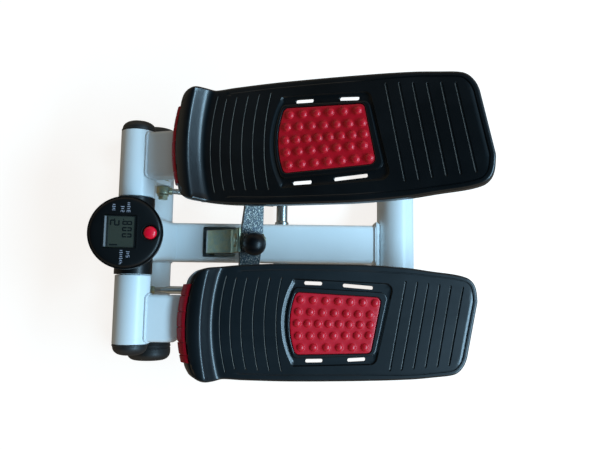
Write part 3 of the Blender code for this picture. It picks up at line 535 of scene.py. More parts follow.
    # circuit board with tracks
    m = Mat("circuit_green")
    setp(m, **{"Coat Weight": 0.6, "Coat Roughness": 0.15})
    track = m.voronoi(260.0, 'DISTANCE_TO_EDGE', "Distance", rand=0.6)
    m.color(m.mix(m.ramp(track, [(0.04, 1.0), (0.09, 0.0)]), (0.012, 0.09, 0.030), (0.05, 0.22, 0.07)))
    m.rough(m.span(m.noise(200.0, 3.0), 0.3, 0.45))
    m.bump(track, 0.2, 0.0002)
    out["board"] = m.m
    # studio floor
    m = Mat("studio_floor")
    m.color(m.mix(m.noise(3.0, 3.0), (0.33, 0.305, 0.285), (0.35, 0.325, 0.305)))
    m.bsdf.inputs["Emission Color"].default_value = (1.0, 0.975, 0.95, 1.0)
    m.bsdf.inputs["Emission Strength"].default_value = 0.84
    m.rough(m.span(m.noise(14.0, 4.0), 0.55, 0.7))
    m.bump(m.noise(60.0, 4.0), 0.02, 0.001)
    out["floor"] = m.m
    return out


MATS = make_materials()

# ------------------------------------------------------------------ footplate rules, as in the CAD source
def table(tab):
    """Monotone smooth curve through the table's points."""
    xs, ys = [p[0] for p in tab], [p[1] for p in tab]
    n = len(xs)
    d = [(ys[i + 1] - ys[i]) / (xs[i + 1] - xs[i]) for i in range(n - 1)]
    m = [d[0]] + [0.0 if d[i - 1] * d[i] <= 0 else 2 * d[i - 1] * d[i] / (d[i - 1] + d[i]) for i in range(1, n - 1)] + [d[-1]]

    def f(x):
        if x <= xs[0]:
            return ys[0]
        if x >= xs[-1]:
            return ys[-1]
        i = bisect.bisect_right(xs, x) - 1
        h = xs[i + 1] - xs[i]
        t = (x - xs[i]) / h
        return (ys[i] * (1 + 2 * t) * (1 - t) ** 2 + h * m[i] * t * (1 - t) ** 2
                + ys[i + 1] * t * t * (3 - 2 * t) + h * m[i + 1] * t * t * (t - 1))
    return f


V_IN = table([(57.5, 50), (59.5, 44), (63, 38.5), (68, 34.5), (75, 32.3), (86, 30.5), (110, 28.2), (150, 26.4), (220, 26.0),
              (270, 28.4), (300, 32.0), (325, 34.9), (338, 38.1), (344, 41.9), (348, 46.6), (351, 53.0), (354, 63.0)])
V_OUT = table([(57.5, 126), (59.5, 132), (63, 138.5), (68, 142.5), (73, 144.5), (81, 145.0), (90, 143.4), (110, 144.4),
               (160, 145.4), (220, 145.0), (265, 144.2), (300, 142.8), (325, 140.5), (338, 139.1), (344, 137.6),
               (348, 135.0), (351, 131.0), (353, 126.6), (354, 121.0)])
BOW = table([(57.5, 5.0), (73, 6.5), (90, 9.0), (160, 9.0), (245, 0.0), (354, 0.0)])
SLANT = table([(57.5, 0.0), (165, 0.0), (265, -0.187), (354, -0.21)])
TOP = table([(57.5, 23.2), (60.0, 25.4), (64.0, 27.4), (68.0, 28.3), (71.0, 28.6), (73.5, 28.58), (75.0, 28.28), (75.8, 27.83),
             (76.5, 27.1), (77.1, 26.15), (79.2, 22.5), (81.3, 18.86), (82.0, 17.78), (82.8, 16.7), (83.6, 15.8), (84.6, 14.93),
             (85.6, 14.33), (86.6, 13.96), (87.6, 13.78), (89.0, 13.71), (91.0, 13.7), (338, 13.7), (346, 13.66), (350, 13.55), (354, 13.0)])
LOW = table([(57.5, 10.4), (63, 10.4), (76, 9.0), (90, 2.0), (110, 0.0), (330, 0.0), (354, 0.0)])
RAKE = table([(57.5, 5.4), (63, 4.7), (68, 3.2), (76, 0.0), (354, 0.0)])
UNDER = 9.8


def plate_uv(U, q):
    v = V_IN(U) * (1 - q) + V_OUT(U) * q
    return Vector((U + BOW(U) * ((2 * q - 1) ** 2 - 0.35) + SLANT(U) * (v - 86.0), v))


def station(u, v):
    """Station U of a plan point."""
    U = u
    for _ in range(14):
        a, b = V_IN(U), V_OUT(U)
        q = min(1.3, max(-0.3, (v - a) / (b - a)))
        U = u - BOW(U) * ((2 * q - 1) ** 2 - 0.35) - SLANT(U) * (v - 86.0)
        U = min(360.0, max(50.0, U))
    return U


def resample(pts, step, closed=True):
    """Points about step apart on a line."""
    line = [Vector(p) for p in pts] + ([Vector(pts[0])] if closed else [])
    dist = [0.0]
    for a, b in zip(line[:-1], line[1:]):
        dist.append(dist[-1] + (b - a).length)
    n = max(3, int(round(dist[-1] / step)))
    out = []
    for i in range(n if closed else n + 1):
        s = dist[-1] * i / n
        k = min(len(line) - 2, max(0, bisect.bisect_right(dist, s) - 1))
        out.append(line[k].lerp(line[k + 1], (s - dist[k]) / max(1e-9, dist[k + 1] - dist[k])))
    return out


def inset(loop, d):
    """Closed loop moved inwards by d, or by a function of the point's index."""
    n = len(loop)
    area = sum(loop[i].x * loop[(i + 1) % n].y - loop[(i + 1) % n].x * loop[i].y for i in range(n))
    sign = 1.0 if area > 0 else -1.0
    out = []
    for i, p in enumerate(loop):
        t = (loop[(i + 1) % n] - loop[i - 1]).normalized()
        out.append(p + Vector((-t.y, t.x)) * sign * (d(i) if callable(d) else d))
    return out


def inside(p, loop):
    x, y, hit = p[0], p[1], False
    n = len(loop)
    j = n - 1
    for i in range(n):
        a, b = loop[i], loop[j]
        if (a.y > y) != (b.y > y) and x < (b.x - a.x) * (y - a.y) / (b.y - a.y) + a.x:
            hit = not hit
        j = i
    return hit


def plate_outline():
    """Plan outline of the footplate, evenly spaced, and the station of each point."""
    a = [plate_uv(57.5 + 296.5 * i / 400.0, 0.0) for i in range(401)]
    heel = [plate_uv(354.0, i / 40.0) for i in range(1, 40)]
    b = [plate_uv(354.0 - 296.5 * i / 400.0, 1.0) for i in range(401)]
    toe = [plate_uv(57.5, 1.0 - i / 40.0) for i in range(1, 40)]
    return resample(a + heel + b + toe, 2.2)


PAD = rounded([(170.4, 55.6, 2.5)] + [(162.2 + 83.0 - math.sqrt(83.0 ** 2 - (2.1 * k) ** 2), 87.0 + 2.1 * k) for k in range(-14, 15)]
              + [(170.4, 118.4, 2.5), (245.2, 116.6, 5.0), (256.6, 60.0, 5.0)], True, 9)
SLOTS = [((176, 45.9), (196, 46.4)), ((216, 47.8), (249, 50.2)), ((178, 124.8), (197, 124.4)), ((221, 123.8), (241, 122.6))]
NUB_ROWS = [(7, 172.9, 250.0, 63.1, 65.5), (7, 170.6, 244.6, 75.2, 77.5), (8, 169.6, 245.0, 86.9, 88.0),
            (7, 170.9, 243.2, 99.5, 98.5), (6, 173.5, 239.1, 111.2, 110.6)]
TOE_GROOVES = [(94.5, 37.5, 139.4), (105.0, 39.5, 135.5), (116.0, 39.5, 136.0), (128.0, 39.0, 136.5),
               (139.5, 39.0, 137.0), (151.5, 38.5, 137.5)]
HEEL_GROOVES = [((282.4, 42.0), (265.1, 134.6)), ((294.6, 42.8), (277.2, 133.9)), ((306.1, 44.2), (289.6, 132.6)),
                ((318.2, 45.2), (302.0, 131.4)), ((330.1, 46.2), (314.4, 130.4)), ((343.0, 47.2), (326.7, 128.9))]
MOAT_H, RIM_H = 11.9, 14.75


def slot_loop(a, b, w):
    a, b = Vector(a), Vector(b)
    d = (b - a).normalized()
    a, b, w = a + d * 2.2, b - d * 2.2, w - 0.25
    n = Vector((-d.y, d.x))
    out = []
    for i in range(9):
        t = math.pi * i / 8
        out.append(b + d * (w * math.sin(t)) * 0.8 + n * (-w * math.cos(t)) * 1.0)
    for i in range(9):
        t = math.pi * i / 8
        out.append(a - d * (w * math.sin(t)) * 0.8 + n * (w * math.cos(t)) * 1.0)
    return out


class Sheet:
    """Plan mesh with height, meshed between feature lines."""

    def __init__(self):
        self.p, self.h, self.e, self.lip = [], [], [], set()

    def line(self, pts, hs, closed=False, lip=0):
        """Feature line; its first lip points bound a lip that gets the pale painted-highlight plastic."""
        k = len(self.p)
        self.p += [Vector(q) for q in pts]
        self.h += list(hs)
        self.lip.update(range(k, k + lip))
        n = len(pts)
        self.e += [(k + i, k + i + 1) for i in range(n - 1)] + ([(k + n - 1, k)] if closed else [])

    def fill(self, loop, step, base, clear=1.3, skip=()):
        """Scatter points on a grid inside loop, clear of the lines."""
        tree = KDTree(len(self.p) * 3 + 3)
        n = 0
        for a, b in self.e:
            pa, pb = self.p[a], self.p[b]
            for f in (0.0, 0.5):
                q = pa.lerp(pb, f)
                tree.insert((q.x, q.y, 0.0), n)
                n += 1
        tree.balance()
        x0, x1 = min(p.x for p in loop), max(p.x for p in loop)
        y0, y1 = min(p.y for p in loop), max(p.y for p in loop)
        rows = int((y1 - y0) / (step * 0.866)) + 1
        for j in range(rows + 1):
            for i in range(int((x1 - x0) / step) + 2):
                q = Vector((x0 + i * step + (step / 2 if j % 2 else 0.0), y0 + j * step * 0.866))
                if not inside(q, loop) or any(inside(q, s) for s in skip):
                    continue
                if tree.find((q.x, q.y, 0.0))[2] < clear:
                    continue
                self.p.append(q)
                self.h.append(base(q))

    def build(self, bm, place, keep, base, flip=False):
        vs, _es, fs, ov, _oe, _of = delaunay_2d_cdt([p.to_2d() for p in self.p], self.e, [], 0, 1e-5, True)
        made, worn = [], []
        for i, v in enumerate(vs):
            h = self.h[ov[i][0]] if ov[i] else base(v)
            made.append(bm.verts.new(place(v, h)))
            worn.append(bool(ov[i]) and ov[i][0] in self.lip)
        for f in fs:
            c = (vs[f[0]] + vs[f[1]] + vs[f[2]]) / 3.0
            if keep(c):
                try:
                    face = bm.faces.new([made[i] for i in (reversed(f) if flip else f)])
                    # faces made only of lip points get the pale plastic, a painted highlight on the lit groove wall
                    face.material_index = 1 if all(worn[i] for i in f) else 0
                except ValueError:
                    pass
        loose = [v for v in made if not v.link_faces]
        bmesh.ops.delete(bm, geom=loose, context='VERTS')


def build_footplate(side, sd):
    bm = bmesh.new()
    out = plate_outline()
    stat = [station(p.x, p.y) for p in out]
    stat = [min(354.0, max(57.5, s)) for s in stat]
    n = len(out)
    edge = 2.3
    place = lambda p, h: Vector((sd * p[1], p[0], h))
    top_of = lambda p: TOP(min(354.0, max(57.5, station(p[0], p[1]))))

    # outer loops: rounded top edge, skirt, lip, inner wall
    def level(d, hs):
        ring = []
        loop = inset(out, d)
        for i, p in enumerate(loop):
            h = hs(stat[i], i)
            r = RAKE(stat[i]) * min(1.0, max(0.0, (TOP(stat[i]) - h) / 13.0))
            ring.append(Vector((sd * p.y, p.x - r, h)))
        return ring

    low = lambda U: LOW(U)
    hi = lambda U: TOP(U)
    skirt = lambda U: max(low(U) + 1.2, hi(U) - edge)
    rings = []
    for k in range(6):
        a = math.radians(90.0 - 90.0 * k / 5)
        e = lambda U: hi(U) - skirt(U)
        rings.append(level(edge * (1 - math.cos(a)), lambda U, i, a=a: hi(U) - e(U) * (1 - math.sin(a))))
    for f in (0.35, 0.7, 0.93):
        rings.append(level(0.0, lambda U, i, f=f: skirt(U) + (low(U) + 0.6 - skirt(U)) * f))
    rings.append(level(0.25, lambda U, i: low(U) + 0.15))
    rings.append(level(0.8, lambda U, i: low(U)))
    rings.append(level(2.2, lambda U, i: low(U)))
    rings.append(level(2.7, lambda U, i: low(U) + 0.5))
    under = lambda U: max(low(U) + 1.0, min(UNDER + max(0.0, hi(U) - 13.7), hi(U) - 2.6))
    rings.append(level(2.8, lambda U, i: low(U) + 0.8))
    rings.append(level(2.8, lambda U, i: under(U) - 0.2))
    add_loft(bm, rings, False, False)

    # top surface between feature lines
    sheet = Sheet()
    rim = inset(out, edge)
    sheet.line(rim, [hi(s) for s in stat], True)
    # curved toe: lines at constant station
    U = 58.6
    while U < 93.0:
        w = 5.0 if U > 62 else 7.0
        va, vb = V_IN(U) + w, V_OUT(U) - w
        pts = [plate_uv(U, (v - V_IN(U)) / (V_OUT(U) - V_IN(U))) for v in [va + (vb - va) * i / 26.0 for i in range(27)]]
        pts = [p for p in pts if inside(p, inset(out, edge + 0.7))]
        if len(pts) > 2:
            sheet.line(pts, [TOP(U)] * len(pts))
        U += 0.5 if 73.4 < U < 78.6 or 80.6 < U < 90.0 else 1.25
    U = 338.5
    while U < 350.0:
        pts = [plate_uv(U, q / 26.0) for q in range(1, 26)]
        pts = [p for p in pts if inside(p, inset(out, 6.9))]
        if len(pts) > 2:
            sheet.line(pts, [TOP(U)] * len(pts))
        U += 1.5

    def groove(line, section, taper=2.2):
        m = len(line)
        dist = [0.0]
        for a, b in zip(line[:-1], line[1:]):
            dist.append(dist[-1] + (b - a).length)
        tot = dist[-1]
        nrm = []
        for i in range(m):
            t = (line[min(m - 1, i + 1)] - line[max(0, i - 1)]).normalized()
            nrm.append(Vector((-t.y, t.x)))
        if nrm[m // 2].x < 0:
            nrm = [-q for q in nrm]
        e = [min(1.0, min(s, tot - s) / taper) for s in dist]
        w = [math.sqrt(max(0.0, k * (2 - k))) for k in e]
        base = [top_of(p) for p in line]
        (f0, _), (f1, _) = section[0], section[-1]
        front = [line[i] + nrm[i] * (w[i] * f0) for i in range(1, m - 1)]
        rear = [line[i] + nrm[i] * (w[i] * f1) for i in range(1, m - 1)]
        loop = [line[0]] + front + [line[-1]] + list(reversed(rear))
        guard = ([line[0].lerp(line[1], -0.3)] + [line[i] + nrm[i] * (w[i] * f0 - 0.35) for i in range(1, m - 1)]
                 + [line[-1].lerp(line[-2], -0.3)] + [line[i] + nrm[i] * (w[i] * f1 + 0.35) for i in reversed(range(1, m - 1))])
        sheet.line(guard, [top_of(p) for p in guard], True)
        sheet.line(loop, [top_of(p) for p in loop], True, len(front) + 1)
        for k, (f, dh) in enumerate(section[1:-1]):
            idx = [i for i in range(2, m - 2)]
            sheet.line([line[i] + nrm[i] * (w[i] * f) for i in idx], [base[i] - dh * w[i] for i in idx], False, 0 if k else len(idx))
        return loop

    for U, v0, v1 in TOE_GROOVES:
        a, b = V_IN(U), V_OUT(U)
        cnt = 44
        line = []
        for i in range(cnt + 1):
            f = i / cnt
            f = f + 0.02 * math.sin(2 * math.pi * f) * -1.0
            v = v0 + (v1 - v0) * f
            line.append(plate_uv(U, (v - a) / (b - a)))
        groove(line, [(-0.66, 0.0), (-0.22, 0.30), (-0.04, 1.0), (0.2, 1.15), (0.5, 1.15), (0.68, 0.0)])
    for p0, p1 in HEEL_GROOVES:
        p0, p1 = Vector(p0), Vector(p1)
        fr = [0.0, 0.006, 0.014, 0.024] + [0.024 + 0.952 * i / 24.0 for i in range(1, 24)] + [0.976, 0.986, 0.994, 1.0]
        groove([p0.lerp(p1, f) for f in fr], [(-1.10, 0.0), (-0.78, 0.2), (-0.58, 1.2), (0.0, 1.45), (0.85, 1.45), (1.08, 0.0)], 2.0)

    # groove round the edge, from the toe grooves round the heel
    idx = [i for i in range(n) if stat[i] > 99.0]
    start = next(k for k in range(len(idx)) if idx[k] - idx[k - 1] != 1)
    idx = idx[start:] + idx[:start]
    def rim_d(i):
        t = min(1.0, max(0.0, (stat[i] - 255.0) / 50.0))
        return 6.6 + (5.0 - 6.6) * t
    mid = [inset(out, rim_d)[i] for i in idx]
    depth = [0.35 + 0.85 * min(1.0, max(0.0, (stat[i] - 240.0) / 60.0)) for i in idx]
    for off, f in ((0.75, 0.0), (0.38, 0.9), (-0.38, 0.9), (-0.75, 0.0)):
        loop = inset(out, lambda i, o=off: rim_d(i) + o)
        k = len(idx)
        sheet.line([loop[i] for i in idx], [TOP(stat[i]) - depth[j] * f * min(1.0, min(j, k - 1 - j) / 3.0)
                                            for j, i in enumerate(idx)])

    # recessed band round the pad, its sloping toe wall, the raised frame and the pad's seat
    def bowed(u, v0, v1, r):
        """Arc across the plate whose foremost point is at u."""
        half, mid_v = (v1 - v0) / 2.0, (v0 + v1) / 2.0
        return [(u + r - math.sqrt(r * r - t * t), mid_v + t) for t in [half * (k / 14.0 - 1.0) for k in range(29)]]

    G = rounded([(165.6, 41.4, 0.8)] + bowed(153.2, 43.2, 128.8, 88.0) + [(165.6, 130.6, 0.8), (250.8, 128.4, 8.0), (270.4, 45.0, 8.0)],
                True, 9)
    G = resample(G, 2.0)
    F = resample(rounded([(168.2, 51.0, 1.5)] + bowed(158.9, 53.0, 120.0, 83.0) + [(168.2, 121.4, 1.5), (249.4, 118.6, 6.5),
                                                                                  (263.4, 55.4, 6.5)], True, 9), 2.0)
    toe = [1.0 if p.x < 164.3 and 44.0 < p.y < 128.2 else 0.0 for p in G]
    for d, f in ((-0.35, 0.0), (0.0, 0.0), (0.12, 0.03), (0.42, 0.27), (0.73, 0.5), (1.04, 0.73), (1.35, 0.97), (1.5, 1.0)):
        wide = 2.7 if d > 0 else 1.0
        loop = inset(G, lambda i, d=d: d * (1.0 + (wide - 1.0) * toe[i]))
        sheet.line(loop, [top_of(G[i]) + (MOAT_H - 13.7) * f for i in range(len(G))], True)
    for d, h in ((-0.95, MOAT_H), (-0.72, MOAT_H), (-0.55, MOAT_H + 0.3), (-0.25, RIM_H - 0.7), (0.05, RIM_H - 0.2), (0.5, RIM_H),
                 (0.8, RIM_H)):
        loop = inset(F, d)
        sheet.line(loop, [h] * len(loop), True)
    seat = resample(PAD, 2.0)
    for d, h in ((-1.12, RIM_H), (-0.72, RIM_H - 0.2), (-0.5, RIM_H - 0.6), (-0.45, 12.2)):
        loop = inset(seat, d)
        sheet.line(loop, [h] * len(loop), True)
    holes = []
    for a, b in SLOTS:
        for w, h in ((2.35, MOAT_H), (2.18, MOAT_H - 0.12), (2.05, MOAT_H - 0.45)):
            loop = slot_loop(a, b, w)
            sheet.line(loop, [h] * len(loop), True)
        holes.append(slot_loop(a, b, 2.05))
    moat_in, frame_in, seat_in = inset(G, 1.5), F, inset(seat, -0.45)

    def base(p):
        if inside(p, G):
            if inside(p, seat_in):
                return 12.2
            if inside(p, frame_in):
                return RIM_H
            return MOAT_H
        return top_of(p)

    sheet.fill(inset(out, edge + 1.0), 4.2, base, 1.15, holes)
    sheet.build(bm, place, lambda c: inside(c, rim) and not any(inside(c, s) for s in holes), base)

    # underside
    low_sheet = Sheet()
    inner = inset(out, 2.8)
    low_sheet.line(inner, [under(s) - 0.2 for s in stat], True)
    U = 61.0
    base_u = lambda p: under(min(354.0, max(57.5, station(p[0], p[1])))) - 0.2
    while U < 352.0:
        a, b = V_IN(U) + 5.5, V_OUT(U) - 5.5
        pts = [plate_uv(U, (a + (b - a) * i / 14.0 - V_IN(U)) / (V_OUT(U) - V_IN(U))) for i in range(15)]
        pts = [p for p in pts if inside(p, inset(out, 4.0)) and not any(inside(p, slot_loop(s0, s1, 3.2)) for s0, s1 in SLOTS)]
        if U < 100 or U > 325:
            if len(pts) > 2:
                low_sheet.line(pts, [under(U) - 0.2] * len(pts))
        U += 2.5 if U < 98 or U > 325 else 12.0
    for a, b in SLOTS:
        loop = slot_loop(a, b, 2.05)
        low_sheet.line(loop, [UNDER - 0.2] * len(loop), True)
    low_sheet.fill(inset(out, 4.5), 12.0, base_u, 3.0, holes)
    low_sheet.build(bm, place, lambda c: inside(c, inner) and not any(inside(c, s) for s in holes), base_u, True)
    # slot walls
    for a, b in SLOTS:
        loop = slot_loop(a, b, 2.05)
        add_loft(bm, [[place(p, MOAT_H - 0.45) for p in loop], [place(p, UNDER - 0.2) for p in loop]], False, False)
    # stiffening ribs under the plate, clear of the arm
    ribs = bmesh.new()
    for u in (122.0, 150.0, 206.0, 262.0):
        for v0, v1 in ((V_IN(u) + 2.6, 57.6), (105.0, V_OUT(u) - 2.6)):
            add_prism(ribs, [Vector((v0, UNDER)), Vector((v1, UNDER)), Vector((v1, UNDER - 5.2)), Vector((v0, UNDER - 7.4))],
                      u - 0.9, u + 0.9, lambda p, t: Vector((sd * p[0], t, p[1])))
    for u in (306.0, 322.0, 338.0):
        v0, v1 = V_IN(u) + 3.2, V_OUT(u) - 3.2
        hgt = UNDER - 0.2 - max(0.0, 13.7 - TOP(u))
        add_prism(ribs, [Vector((v0, hgt)), Vector((v1, hgt)), Vector((v1, 2.4)), Vector((v0, 2.4))],
                  u - 0.9, u + 0.9, lambda p, t: Vector((sd * p[0], t + SLANT(u) * (p[0] - 86.0), p[1])))
    ob = piece("footplate_shell_" + side, bm, MATS["plastic"], side + "_pedal", PEDAL[side], "footplate_" + side,
               26.0)
    # second slot: the pale plastic painted on the groove lips as a highlight
    ob.data.materials.append(MATS["worn"])
    piece("footplate_ribs_" + side, ribs, MATS["plastic"], side + "_pedal", PEDAL[side], (), 30.0)
    return ob


def build_pad(side, sd):
    bm = bmesh.new()
    place = lambda p, h: Vector((sd * p[1], p[0], h))
    loop = resample(PAD, 1.6)
    base_h = 14.15
    sheet = Sheet()
    hs = [(0.0, base_h - 0.9), (0.12, base_h - 0.45), (0.4, base_h - 0.12), (0.85, base_h)]
    rings = [[place(p, 12.3) for p in loop]] + [[place(p, h) for p in inset(loop, d)] for d, h in hs]
    add_loft(bm, rings, False, False)
    inner = inset(loop, 0.85)
    sheet.line(inner, [base_h] * len(inner), True)
    prof = [(4.55, 0.0), (4.2, 0.10), (3.95, 0.45), (3.7, 0.95), (3.3, 1.45), (2.7, 1.92), (1.9, 2.30), (1.0, 2.52)]
    for count, u0, u1, v0, v1 in NUB_ROWS:
        for i in range(count):
            f = i / (count - 1)
            c = Vector((u0 + (u1 - u0) * f, v0 + (v1 - v0) * f))
            for r, h in prof:
                k = 22 if r > 2.0 else 14
                sheet.line([c + Vector((r * math.cos(2 * math.pi * j / k), r * math.sin(2 * math.pi * j / k))) for j in range(k)],
                           [base_h + h] * k, True)
            sheet.p.append(c)
            sheet.h.append(base_h + 2.6)
    sheet.fill(inset(loop, 1.6), 3.0, lambda p: base_h, 1.2)
    sheet.build(bm, place, lambda c: inside(c, inner), lambda p: base_h)
    bm.faces.new([v for v in bm.verts[:len(loop)]])
    return piece("foot_pad_rubber_" + side, bm, MATS["red"], side + "_pedal", PEDAL[side], "foot_pad_" + side, 50.0)


def build_reflector(side, sd):
    bm = bmesh.new()
    cuts = [60.5, 76.5, 92.0, 106.5, 119.0]
    rings = []
    count = 162
    for i in range(count + 1):
        v = 49.0 + 77.5 * i / count
        q = (v - 50.0) / 76.0
        base = 57.5 + 5.0 * ((2 * q - 1) ** 2 - 0.35)
        d = min(abs(v - c) for c in cuts)
        dip = 1.1 * max(0.0, 1.0 - (d / 0.75) ** 2) if d < 0.75 else 0.0
        rib = 0.08 * abs(((v / 1.5) % 1.0) * 2 - 1)
        ring = []
        for du, h in ((1.9, 23.6), (1.5, 24.6), (0.3, 24.3), (-1.2, 23.2), (-2.1, 21.8), (-2.6, 20.2), (-2.9, 18.0), (-2.95, 15.0), (-2.9, 12.6),
                      (-2.6, 11.3), (-1.7, 10.8), (-0.6, 10.7)):
            lens = 1.0 if 11.5 < h < 21.5 else 0.0
            ring.append(Vector((sd * v, base - 5.4 * (23.5 - h) / 13.0 + du + dip + rib * lens, h)))
        rings.append(ring)
    add_loft(bm, rings)
    piece("toe_reflector_lens_" + side, bm, MATS["reflector"], side + "_pedal", PEDAL[side], "toe_reflector_" + side,
          28.0)


def build_arm(side, sd):
    bm = bmesh.new()
    rings = []
    steps = [(0.0, 108.0), (24.0, 108.0), (43.5, 108.0), (45.0, 107.6), (46.3, 106.4), (48.7, 103.6), (50.0, 102.4),
             (51.5, 102.0), (120.0, 102.0), (200.0, 102.0), (295.4, 102.0), (295.9, 101.7), (296.0, 101.2)]
    for k, (u, v1) in enumerate(steps):
        e = {len(steps) - 2: 0.3, len(steps) - 1: 0.8}.get(k, 0.0)
        ring = []
        for p in rect(60.0 + e, v1 - (0.0 if v1 > 101.9 else 0.0), -14.3 + e, 9.5 - e, 4.5, 5):
            uu = u
            if k == 0:
                uu = math.sqrt(max(0.0, 18.25 ** 2 - p.y ** 2))
            ring.append(Vector((sd * p.x, uu, p.y)))
        rings.append(ring)
    for u, v1 in ((296.0, 102.0), (51.5, 102.0), (43.5, 108.0), (20.0, 108.0)):
        rings.append([Vector((sd * p.x, u, p.y)) for p in rect(62.0, v1 - 2.0, -12.3, 7.5, 2.5, 5)])
    add_loft(bm, rings, False, True)
    piece("pedal_arm_tube_" + side, bm, MATS["white"], side + "_pedal", PEDAL[side], "pedal_arm_" + side, 30.0)
    bm = bmesh.new()
    pts = []
    for p in resample(rect(60.0, 108.0, -14.3, 9.5, 4.5, 5), 1.2):
        r = 18.1
        pts.append(Vector((sd * p.x, math.sqrt(max(0.0, r * r - p.y ** 2)) + 0.5, p.y + (0.5 if p.y > 8 else 0.0))))
    add_weld(bm, pts, 1.55, 1.9, 3 + sd, True)
    piece("arm_weld_" + side, bm, MATS["weld"], side + "_pedal", PEDAL[side], (), 60.0)


def bolt_head(bm, space, z0, af, height, shaft_r=None, chamfer=0.8):
    """Hexagon head standing on z0, with a chamfered top."""
    r = af / math.sqrt(3)
    hexa = [Vector((r * math.cos(math.pi / 3 * i), r * math.sin(math.pi / 3 * i))) for i in range(6)]
    fine = []
    for i in range(6):
        for f in (0.0, 0.25, 0.5, 0.75):
            fine.append(hexa[i].lerp(hexa[(i + 1) % 6], f))
    rings = [[Vector((p.x, p.y, z0)) for p in fine]]
    for dz, lim in ((0.0, 1e9), (chamfer * 0.5, af / 2 * 1.03), (chamfer, af / 2 * 0.95)):
        ring = []
        for p in fine:
            s = min(1.0, lim / p.length)
            extra = (p.length - af / 2) * 0.55
            z = z0 + height - chamfer + dz - (max(0.0, extra) if dz == 0.0 else 0.0)
            ring.append(Vector((p.x * s, p.y * s, z)))
        rings.append(ring)
    rows = add_loft(bm, rings)
    verts = [v for row in rows for v in row]
    bmesh.ops.transform(bm, matrix=space, verts=verts)
    return verts


def thread(bm, r, z0, z1, pitch, depth, space, seg=24):
    """Cut thread as a fine helix ridge on a rod."""
    rows = []
    steps = int((z1 - z0) / (pitch / 6.0))
    for i in range(steps + 1):
        z = z0 + (z1 - z0) * i / steps
        ring = []
        for k in range(seg):
            a = 2 * math.pi * k / seg
            ph = ((z - z0) / pitch - k / seg) % 1.0
            tri = 1.0 - abs(2 * ph - 1)
            end = min(1.0, (z - z0) / pitch, (z1 - z) / pitch)
            rr = r - depth * (1 - tri) * max(0.0, end)
            ring.append(bm.verts.new((rr * math.cos(a), rr * math.sin(a), z)))
        rows.append(ring)
    for a, b in zip(rows[:-1], rows[1:]):
        for k in range(seg):
            bm.faces.new((a[k], a[(k + 1) % seg], b[(k + 1) % seg], b[k]))
    bm.faces.new(rows[0])
    bm.faces.new(rows[-1])
    bmesh.ops.transform(bm, matrix=space, verts=[v for r_ in rows for v in r_])


